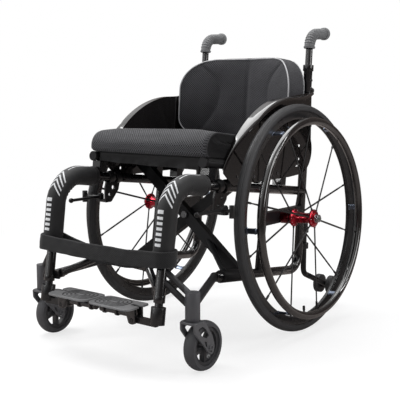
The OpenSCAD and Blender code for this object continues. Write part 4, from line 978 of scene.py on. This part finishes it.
# Calf strap
STRAP_Z, STRAP_HALF, STRAP_OUT, STRAP_R = 262, 18, 2.6, 28.4
STRAP_RUN, STRAP_WRAP, STRAP_BAND = 120, 48, 28
FRONT_SAG, REAR_SAG = 4, 26
STRAP_HEM, STRAP_CROWN = 0.7, 1.2


def follow_fold(obj):
    """A piece between the two side frames goes with the right frame, on a mesh of its own."""
    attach(obj, "right_frame")
    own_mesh(obj)


def strap_stations():
    """Places round the loop: x, distance from the leg, the way out, drop and how free the webbing is."""
    stations = []
    for s, sag in ((1, FRONT_SAG), (-1, REAR_SAG)):
        for i in range(STRAP_RUN):
            a = 2 * i / STRAP_RUN - 1
            stations.append((s * FRAME_HALF * a, -s * STRAP_R, 0, -s, sag * (1 - a * a), 1 - a ** 4))
        for i in range(STRAP_WRAP):
            c, d = cos_sin(180 * i / STRAP_WRAP - 90 * s)
            stations.append((s * FRAME_HALF + STRAP_R * c, STRAP_R * d, c, d, 0, 0))
    return stations + stations[:1]


def calf_strap():
    """A loop of soft webbing round both legs, slacker behind them; its wraps go with their legs."""
    stations = strap_stations()
    band = [(fuller(math.cos(t), 0.25), math.sin(t)) for t in turns(STRAP_BAND)]
    rings, flat = [], []
    way_round = lengths([(st[0], st[1]) for st in stations])
    for (x, off, out_x, out_y, drop, free), at in zip(stations, way_round):
        lean = free * (2.6 * rough(at / 60, 3.1) + 1.2 * rough(at / 19, 8.2))
        lift = 2.4 * rough(at / 50, 1.7) * free
        ring = []
        for out, up in band:
            z = STRAP_Z - drop + lift + up * STRAP_HALF
            hem = STRAP_HEM * (abs(up) > 0.74) - 0.5 * dip(abs(up) - 0.7, 0.05)
            thick = out * (STRAP_OUT + hem) + STRAP_CROWN * (1 - up * up) * (out > 0) + lean * up
            ring.append(spot(x + out_x * thick, leg_at(z) + off + out_y * thick, z))
        rings.append(ring)
        flat.append([(at * MM, up * STRAP_HALF * MM, 0) for _, up in band])

    def piece(name, stretches):
        shape = Shape()
        for a, b in stretches:
            shape.rings(rings[a:b + 1])
        made = shape.make(name, strap_cloth, None, "strap_cloth", 70)
        keep_map(made, [p for a, b in stretches for row in flat[a:b + 1] for p in row])
        return made

    half_way = STRAP_RUN + STRAP_WRAP
    runs = piece("calf_strap_look", [(0, STRAP_RUN), (half_way, half_way + STRAP_RUN)])
    wraps = {"left": piece("calf_strap_wrap_left", [(STRAP_RUN, half_way)]),
             "right": piece("calf_strap_wrap_right", [(half_way + STRAP_RUN, 2 * half_way)])}
    for side, made in wraps.items():
        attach(made, side + "_frame")
    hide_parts("calf_strap")
    follow_fold(runs)


# Seat sling and its apron, in the seat's own frame
RAIL_TOP, RAIL_R = 273.94, 11
SEAT_FRONT, SEAT_REAR = -189, 204
SLING_HALF_T, SLING_GAP = 0.8, 0.3
SLING_R = RAIL_R + SLING_GAP + SLING_HALF_T
WRAP_FROM, WRAP_STEP, WRAP_STEPS = 25, 6.5, 11
SLING_ACROSS, SLING_ALONG = 36, 40
APRON_HALF, APRON_STEPS, APRON_DROP, APRON_R, APRON_HALF_T = 162, 90, 27, 4, 0.9


def follow_seat(obj):
    """Bakes the piece's place into its mesh; the left seat rail belongs to the rear brace, and the right one
    to the front brace.
    """
    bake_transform(obj)


def cloth_rows(rows, normals, half_t):
    """A closed sheet over rows of points, half_t millimetres thick each way; returns rings of its section."""
    rings = []
    for row, ways in zip(rows, normals):
        face = [p + w * half_t * MM for p, w in zip(row, ways)]
        back = [p - w * half_t * MM for p, w in zip(row, ways)]
        rings.append(face + back[::-1])
    return rings


def seat_sling():
    """Cloth drawn across both rails and part way round them."""
    place = seat_place()
    ways = [cos_sin(WRAP_FROM + WRAP_STEP * k) for k in range(WRAP_STEPS)]
    left = [(FRAME_HALF + SLING_R * c, RAIL_TOP + SLING_R * s, c, s) for c, s in ways]
    middle = [(FRAME_HALF * (1 - 2 * k / SLING_ACROSS), RAIL_TOP + SLING_R, 0, 1)
              for k in range(1, SLING_ACROSS)]
    section = left + middle + [(-x, z, -nx, nz) for x, z, nx, nz in reversed(left)]
    rows, flat = [], []
    across = lengths([(x, z) for x, z, _, _ in section])
    for k in range(SLING_ALONG + 1):
        y = SEAT_FRONT + (SEAT_REAR - SEAT_FRONT) * k / SLING_ALONG
        rows.append([Vector((x, y, z)) * MM for x, z, _, _ in section])
        front = [(u * MM, y * MM, 0) for u in across]
        flat += front + front[::-1]
    normals = [[Vector((nx, 0, nz)) for _, _, nx, nz in section]] * len(rows)
    shape = Shape().rings(cloth_rows(rows, normals, SLING_HALF_T))
    made = shape.make("seat_sling_look", sling_cloth, None, "sling_cloth", 50, place)
    keep_map(made, flat)
    apron = seat_apron(place)
    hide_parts("seat_sling")
    for piece in (made, apron):
        follow_seat(piece)


def seat_apron(place):
    """The sling's front hem, which hangs between the rails with slight waves."""
    top = RAIL_TOP + SLING_R
    turn_y = SEAT_FRONT + APRON_R - 1
    rows, normals, flat = [], [], []
    for i in range(APRON_STEPS + 1):
        x = APRON_HALF * (2 * i / APRON_STEPS - 1)
        foot = (SEAT_FRONT + 1, top - APRON_DROP - 2.2 * rough(x / 60, 5.5) - 2.5 * (x / APRON_HALF))
        path = [(SEAT_FRONT + 9, top), (turn_y, top)]
        path += arc((turn_y, top - APRON_R), APRON_R, 90, 180, 6)
        path += line((turn_y - APRON_R, top - APRON_R), foot, 14) + [foot]
        row, ways, gone = [], [], lengths(path)
        for y, z in path:
            hang = max(0.0, (top - APRON_R - z) / APRON_DROP)
            wave = hang * (4.4 * rough(x / 44, z / 36, 2.2) + 2.6 * rough(x / 17, z / 14, 7.7))
            row.append(Vector((x, y - wave, z)) * MM)
            ways.append(-Y_WAY if hang > 0 else Z_WAY)
        rows.append(row)
        normals.append(ways)
        front = [(x * MM, at * MM, 0) for at in gone]
        flat += front + front[::-1]
    shape = Shape().rings(cloth_rows(rows, normals, APRON_HALF_T))
    made = shape.make("seat_apron", sling_cloth, None, "sling_cloth", 60, place)
    keep_map(made, flat)
    return made


# Seat cushion, in the seat's own frame
CUSHION_FRONT, CUSHION_REAR, CUSHION_HALF = -204.9, 225, 190
CUSHION_LOW, CUSHION_T, CUSHION_LEAN, CROWN_SHARE = 287.0, 62, 3, 0.05
NOSE_LOW_R, NOSE_TOP_R, CORNER_R, REAR_LOW_R, REAR_TOP_R = 12, 40, 12, 12, 18
FOOT_STEPS, NOSE_STEPS, TOP_STEPS, WIDE_STEPS = 44, (7, 13), 66, 60
CUSHION_SEAM, SEAM_INSET, SEAM_R = 2, 1.2, 1.0
SEAM_FRONT, SEAM_REAR = 4, 8
CUSHION_CAPS = [(1.0, 3.5), (0.4, 9), (0.2, 17), (0.2, 25)]
SEAT_SWELL = 4


def past_corner(x):
    """How far x lies beyond the start of the cushion's round front corner."""
    return max(0.0, abs(x) - CUSHION_HALF + CORNER_R)


def cushion_loop(x, inset):
    """The cushion's side outline at x, from its rear foot forward and round."""
    a = abs(x) / CUSHION_HALF
    crown = 1 - CROWN_SHARE + CROWN_SHARE * (1 - a ** 5)
    top = CUSHION_LOW + CUSHION_T * crown + CUSHION_LEAN * x / CUSHION_HALF
    front = CUSHION_FRONT + CORNER_R - math.sqrt(CORNER_R ** 2 - min(past_corner(x), CORNER_R) ** 2)
    rear, low = CUSHION_REAR, CUSHION_LOW
    foot_f, foot_r = front + NOSE_LOW_R, rear - REAR_LOW_R
    nose, tail = (front + NOSE_TOP_R, top - NOSE_TOP_R), (rear - REAR_TOP_R, top - REAR_TOP_R)
    loop = line((foot_r, low), (foot_f, low), FOOT_STEPS)
    loop += arc((foot_f, low + NOSE_LOW_R), NOSE_LOW_R, 270, 180, NOSE_STEPS[0])
    loop += arc(nose, NOSE_TOP_R, 180, 90, NOSE_STEPS[1])
    loop += line((nose[0], top), (tail[0], top), TOP_STEPS)
    loop += arc(tail, REAR_TOP_R, 90, 0, 7)
    loop += arc((foot_r, low + REAR_LOW_R), REAR_LOW_R, 0, -90, 5)
    middle = ((front + rear) / 2, (top + low) / 2)
    half = ((rear - front) / 2, (top - low) / 2)
    return [tuple(middle[k] + (p[k] - middle[k]) * (1 - inset / half[k]) for k in (0, 1)) for p in loop]


def seat_cushion():
    """A padded box with a round front, a net over its top and front, and plain sides let in along a seam."""
    place = seat_place()
    rings, flat, held = [], [], []

    def add(x, inset, part):
        loop = cushion_loop(x, inset)
        gone = lengths(loop)
        past = past_corner(x)
        along = math.copysign(abs(x) - past + CORNER_R * math.asin(past / CORNER_R), x)
        for k, (y, z) in enumerate(loop):
            if z < CUSHION_LOW + 0.5 or part == "seam":
                held.append(len(flat))
            if part == "side":
                flat.append((y * MM, z * MM, 1))
            else:
                flat.append((along * MM, gone[k] * MM, 1 if k < FOOT_STEPS else 0))
        rings.append([Vector((x, y, z)) * MM for y, z in loop])

    for off, inset in reversed(CUSHION_CAPS):
        add(off - CUSHION_HALF, inset, "side")
    for i in range(WIDE_STEPS + 1):
        x = (CUSHION_HALF - CUSHION_SEAM) * (2 * i / WIDE_STEPS - 1)
        if i in (0, WIDE_STEPS):
            add(x, SEAM_INSET, "seam")
        else:
            add(x, 0, "net")
    for off, inset in CUSHION_CAPS:
        add(CUSHION_HALF - off, inset, "side")
    made = Shape().rings(rings).make("seat_cushion_look", seat_net, None, "cushion_mesh", 180, place)
    keep_map(made, flat)
    swell(made, held, SEAT_SWELL)
    around = len(rings[0])
    seams = Shape()
    for ring in (len(CUSHION_CAPS), len(rings) - 1 - len(CUSHION_CAPS)):
        picks = [ring * around + k for k in range(FOOT_STEPS + SEAM_FRONT, around - SEAM_REAR)]
        seams.tube(points_of(made, picks), SEAM_R, 8)
    smoother(made)
    binding = seams.make("seat_cushion_seams", paints["binding"], None, "cushion_mesh", 60, place)
    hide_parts("seat_cushion")
    for piece in (made, binding):
        follow_seat(piece)


# Back cushion
BACK_LOW, BACK_TOP, BACK_HALF = 502, 724, 186
BACK_TOP_R, BACK_LOW_R = 86, 56
BACK_T, WING_DEPTH, BACK_SOFT, WING_POWER = 22, 86, 0.12, 1.5
REAR_ROUND, ROUND_FROM = 14, 0.7
BACK_GAP = 2.8
BACK_STAND = TUBE_R + BACK_GAP
SEAM_SHARE, SEAM_BOW_Z, SEAM_BOW_UP, SEAM_BOW_DOWN = 0.445, 0.15, 0.6, 0.29
SEAM_EDGE, SEAM_CLEAR, EDGE_THIN = 6, 2, 0.18
CREASE_DEPTH, MIDDLE_W, FOLD_W, FOLD_X, SEAM_W = 3, 26, 10, 3, 7
BACK_SPREAD, GUSSET_STEPS, BACK_STEPS = 15, 14, 44
BACK_ENDS, END_TAPER = [(0.9, 1.6), (0.55, 1.4), (0.2, 0.9)], 0.06
BACK_SWELL, PIPE_R, REAR_PIPE_R = 8, 1.9, 1.4


def back_half(z):
    """Half of the front face's width at a height, with round corners."""
    cut = 0.0
    for off, r in ((BACK_TOP - z, BACK_TOP_R), (z - BACK_LOW, BACK_LOW_R)):
        if off < r:
            cut = max(cut, r - math.sqrt(max(0.0, r * r - (r - off) ** 2)))
    return BACK_HALF - cut


def wing_seam(b):
    """Share of the half width where the wing's seam runs, at b from -1 at the foot to 1 at the top."""
    bow = SEAM_BOW_UP if b > SEAM_BOW_Z else SEAM_BOW_DOWN
    return SEAM_SHARE + bow * (b - SEAM_BOW_Z) ** 2


def back_row(z):
    """Front points, and how deep the back is there, at a height; columns meet the middle and both seams."""
    b = 2 * (z - BACK_LOW) / (BACK_TOP - BACK_LOW) - 1
    half = back_half(z)
    seam = min(wing_seam(b) * BACK_HALF, half - SEAM_EDGE)
    stops = [-half, -seam, 0, seam, half]
    spans = zip(stops, stops[1:])
    xs = [p + (q - p) * k / BACK_SPREAD for p, q in spans for k in range(BACK_SPREAD)] + [half]
    edge = 1 - EDGE_THIN + EDGE_THIN * (1 - abs(b) ** 6)
    deep = []
    for x in xs:
        dips = dip(x, MIDDLE_W) + dip(x - FOLD_X, FOLD_W)
        dips += dip(abs(x) - seam, SEAM_W) * (seam < half - SEAM_EDGE - SEAM_CLEAR)
        wing = math.sqrt((x / BACK_HALF) ** 2 + BACK_SOFT ** 2) - BACK_SOFT
        deep.append((BACK_T + WING_DEPTH * wing ** WING_POWER - CREASE_DEPTH * dips) * edge)
    return xs, deep


def back_cushion():
    """A padded shell with side wings, piped round its face, with a crease down its middle."""
    columns = 4 * BACK_SPREAD + 1
    rear_from, rear_to = columns + GUSSET_STEPS - 1, 2 * columns + GUSSET_STEPS - 1
    pinned = {0, BACK_SPREAD, 3 * BACK_SPREAD, columns - 1}
    walls = [k / GUSSET_STEPS for k in range(1, GUSSET_STEPS)]
    rings, flat, held = [], [], []

    def add(z, share, edge_row=False):
        """share pulls the loop in towards its own middle, for the closed ends; returns its first vertex."""
        xs, deep = back_row(min(max(z, BACK_LOW), BACK_TOP))
        rear = cane_at(z) - BACK_STAND
        fronts = [rear - d for d in deep]
        rounds = [max(0.0, (abs(x) / BACK_HALF - ROUND_FROM) / (1 - ROUND_FROM)) for x in xs]
        rears = [rear - REAR_ROUND * r ** 2 for r in rounds]
        mids = [(f + r) / 2 for f, r in zip(fronts, rears)]
        whole = list(zip(xs, fronts, mids))
        whole += [(xs[-1], fronts[-1] + (rears[-1] - fronts[-1]) * s, mids[-1]) for s in walls]
        whole += reversed(list(zip(xs, rears, mids)))
        whole += [(xs[0], rears[0] + (fronts[0] - rears[0]) * s, mids[0]) for s in walls]
        loop = [(x * (1 - END_TAPER * share), y + (m - y) * share) for x, y, m in whole]
        gone = lengths(loop)
        first = len(flat)
        for k in range(len(loop)):
            if rear_from <= k < rear_to or (k < columns and (k in pinned or edge_row)):
                held.append(first + k)
            flat.append(((gone[k] - gone[columns // 2]) * MM, z * MM, 0))
        rings.append([spot(x, y, z) for x, y in loop])
        return first

    for share, out in BACK_ENDS:
        add(BACK_LOW - out, share)
    rows = []
    for i in range(BACK_STEPS + 1):
        z = BACK_LOW + (BACK_TOP - BACK_LOW) * i / BACK_STEPS
        rows.append(add(z, 0, i in (0, BACK_STEPS)))
    for share, out in reversed(BACK_ENDS):
        add(BACK_TOP + out, share)
    made = Shape().rings(rings).make("back_cushion_look", back_net, None, "back_mesh", 180)
    keep_map(made, flat)
    swell(made, held, BACK_SWELL)
    inner = range(1, columns - 1)
    round_face = [row + columns - 1 for row in rows] + [rows[-1] + k for k in reversed(inner)]
    round_face += rows[::-1] + [rows[0] + k for k in inner]
    piping = Shape().tube(points_of(made, round_face), PIPE_R, 10, closed=True)
    for column in (rear_from, rear_to - 1):
        piping.tube(points_of(made, [row + column for row in rows[2:-2]]), REAR_PIPE_R, 8)
    smoother(made)
    cord = piping.make("back_piping", paints["piping"], None, "back_mesh", 60)
    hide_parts("back_cushion")
    for piece in (made, cord):
        follow_fold(piece)


for side in SIDES:
    for build in (rear_wheel, push_grip, leg_sleeve, caster_fork, footplate, brake_mount, side_guard,
                  axle_collar, bolt_heads):
        build(side)
calf_strap()
seat_sling()
seat_cushion()
back_cushion()

# Finishes of the nodes that show as they are
finishes = {
    "front_tube": "frame", "main_tube": "frame", "front_arm": "frame", "push_tube": "frame",
    "axle_bracket": "bracket", "footrest_tube": "bracket", "anti_tip_clamp": "bracket",
    "anti_tip_tube": "bracket", "anti_tip_wheels": "tip", "caster_housing": "housing",
    "caster_wheel": "caster", "caster_tyre": "caster_tyre", "hub_bearings": "steel", "axle": "steel",
    "release_button": "button", "brake_lever": "brake", "height_knob": "knob", "brace_front": "brace",
    "brace_rear": "brace", "brace_bolt": "bolt",
}
NODE_WELD, NODE_EDGE, NODE_ANGLE = 0.01, 0.7, 50


def soften(obj):
    """Breaks a node's sharp edges as a real tumbled or moulded piece has them."""
    obj.modifiers.new("weld", "WELD").merge_threshold = NODE_WELD * MM
    edge = obj.modifiers.new("edge", "BEVEL")
    edge.width = NODE_EDGE * MM
    edge.segments = 2
    edge.limit_method = "ANGLE"
    edge.angle_limit = math.radians(NODE_ANGLE)
    edge.harden_normals = True


for name, obj in nodes.items():
    kind = name.removesuffix("_left").removesuffix("_right")
    if kind in finishes:
        obj.data.materials.clear()
        obj.data.materials.append(paints[finishes[kind]].material)
        soften(obj)

# Camera, in millimetres, pixels and degrees, then light and floor, in metres
CAMERA_AT, CAMERA_DOWN, CAMERA_YAW = (1323.9, -1844.2, 624.0), 7.447, 37.52
FOCAL_PX, IMAGE_PX, SENSOR_W = 808.55, 400, 36
AIM = Vector((0, 0, 0.35))
FLOOR_HALF, FLOOR_SINK, FADE_FROM, FADE_TO = 9, 0.0005, 0.75, 1.7
FLOOR_LIT, FLOOR_SEEN, FLOOR_GLOW = (0.86, 0.86, 0.86), (0.30, 0.30, 0.30, 1), 0.72
FLOOR_MIRRORED, SKY_MIRRORED = (0.36, 0.32, 0.30, 1), (0.11, 0.092, 0.084, 1)
SKY_DIM, SKY_WHITE_WAY, SKY_FROM, SKY_TO = (0.30, 0.30, 0.31, 1), (-0.45, -0.30, 0.84), 0.25, 0.75

camera = bpy.data.objects.new("camera", bpy.data.cameras.new("camera"))
bpy.context.scene.collection.objects.link(camera)
camera.location = spot(*CAMERA_AT)
camera.rotation_euler = (math.radians(90 - CAMERA_DOWN), 0, math.radians(CAMERA_YAW))
camera.data.sensor_width = SENSOR_W
camera.data.lens = FOCAL_PX / IMAGE_PX * SENSOR_W
bpy.context.scene.camera = camera


def softbox(name, at, size, watts, mirrored=True):
    lamp = bpy.data.lights.new(name, "AREA")
    lamp.shape = "RECTANGLE"
    lamp.size, lamp.size_y = size
    lamp.energy = watts
    made = bpy.data.objects.new(name, lamp)
    made.location = at
    made.visible_glossy = mirrored
    made.rotation_mode = "QUATERNION"
    made.rotation_quaternion = (AIM - Vector(at)).to_track_quat("-Z", "Y")
    bpy.context.scene.collection.objects.link(made)


softbox("top_light", (-0.3, 0.2, 2.7), (2.6, 2.2), 58)
softbox("left_light", (-2.4, -1.6, 1.5), (1.4, 1.8), 24, mirrored=False)
softbox("right_light", (2.6, 0.4, 1.5), (1.0, 1.8), 22)
softbox("high_card", (-1.2, -0.4, 2.1), (0.9, 0.5), 13)
softbox("left_strip", (-1.3, -2.3, 1.4), (0.12, 1.8), 9)
softbox("right_strip", (2.3, 1.4, 1.7), (0.14, 1.6), 9)


def floor():
    """A white floor that keeps a soft shadow and fades into the backdrop."""
    mesh = bpy.data.meshes.new("floor")
    corners = [(x * FLOOR_HALF, y * FLOOR_HALF, 0) for x, y in ((-1, -1), (1, -1), (1, 1), (-1, 1))]
    mesh.from_pydata(corners, [], [(0, 1, 2, 3)])
    paint = Paint("floor_white", FLOOR_LIT, 0.8, Specular_IOR_Level=0.0)
    rays = paint.node("LightPath").outputs
    shown = rays["Is Camera Ray"]
    far = paint.node("VectorMath", {0: paint.place()}, operation="LENGTH").outputs["Value"]
    fade = paint.spread(far, FADE_FROM, FADE_TO)
    lit = paint.mix(shown, paint.colour, paint.mix(fade, FLOOR_SEEN, BLACK))
    paint.put(paint.shader, {
        "Base Color": paint.mix(rays["Is Glossy Ray"], lit, FLOOR_MIRRORED),
        "Emission Color": WHITE,
        "Emission Strength": paint.times(shown, paint.spread(fade, 0.0, 1.0, FLOOR_GLOW, 1.0))})
    mesh.materials.append(paint.material)
    made = bpy.data.objects.new("floor", mesh)
    made.location.z = -FLOOR_SINK
    bpy.context.scene.collection.objects.link(made)


def sky():
    """White to the camera, dim to matt pieces; shiny ones see white above on the left, else brown."""
    world = bpy.data.worlds.new("studio")
    bpy.context.scene.world = world
    world.use_nodes = True
    made = Nodes(world.node_tree)
    rays = made.node("LightPath").outputs
    way = made.node("TexCoord").outputs["Generated"]
    towards = made.node("VectorMath", {0: way, 1: SKY_WHITE_WAY}, operation="DOT_PRODUCT").outputs["Value"]
    mirrored = made.mix(made.spread(towards, SKY_FROM, SKY_TO), SKY_MIRRORED, WHITE)
    seen = made.math("MAXIMUM", rays["Is Camera Ray"], rays["Is Transmission Ray"])
    colour = made.mix(rays["Is Glossy Ray"], SKY_DIM, mirrored)
    background = world.node_tree.nodes["Background"]
    made.put(background, {"Color": made.mix(seen, colour, WHITE), "Strength": 1.0})


floor()
sky()
bpy.context.scene.view_settings.view_transform = "Standard"
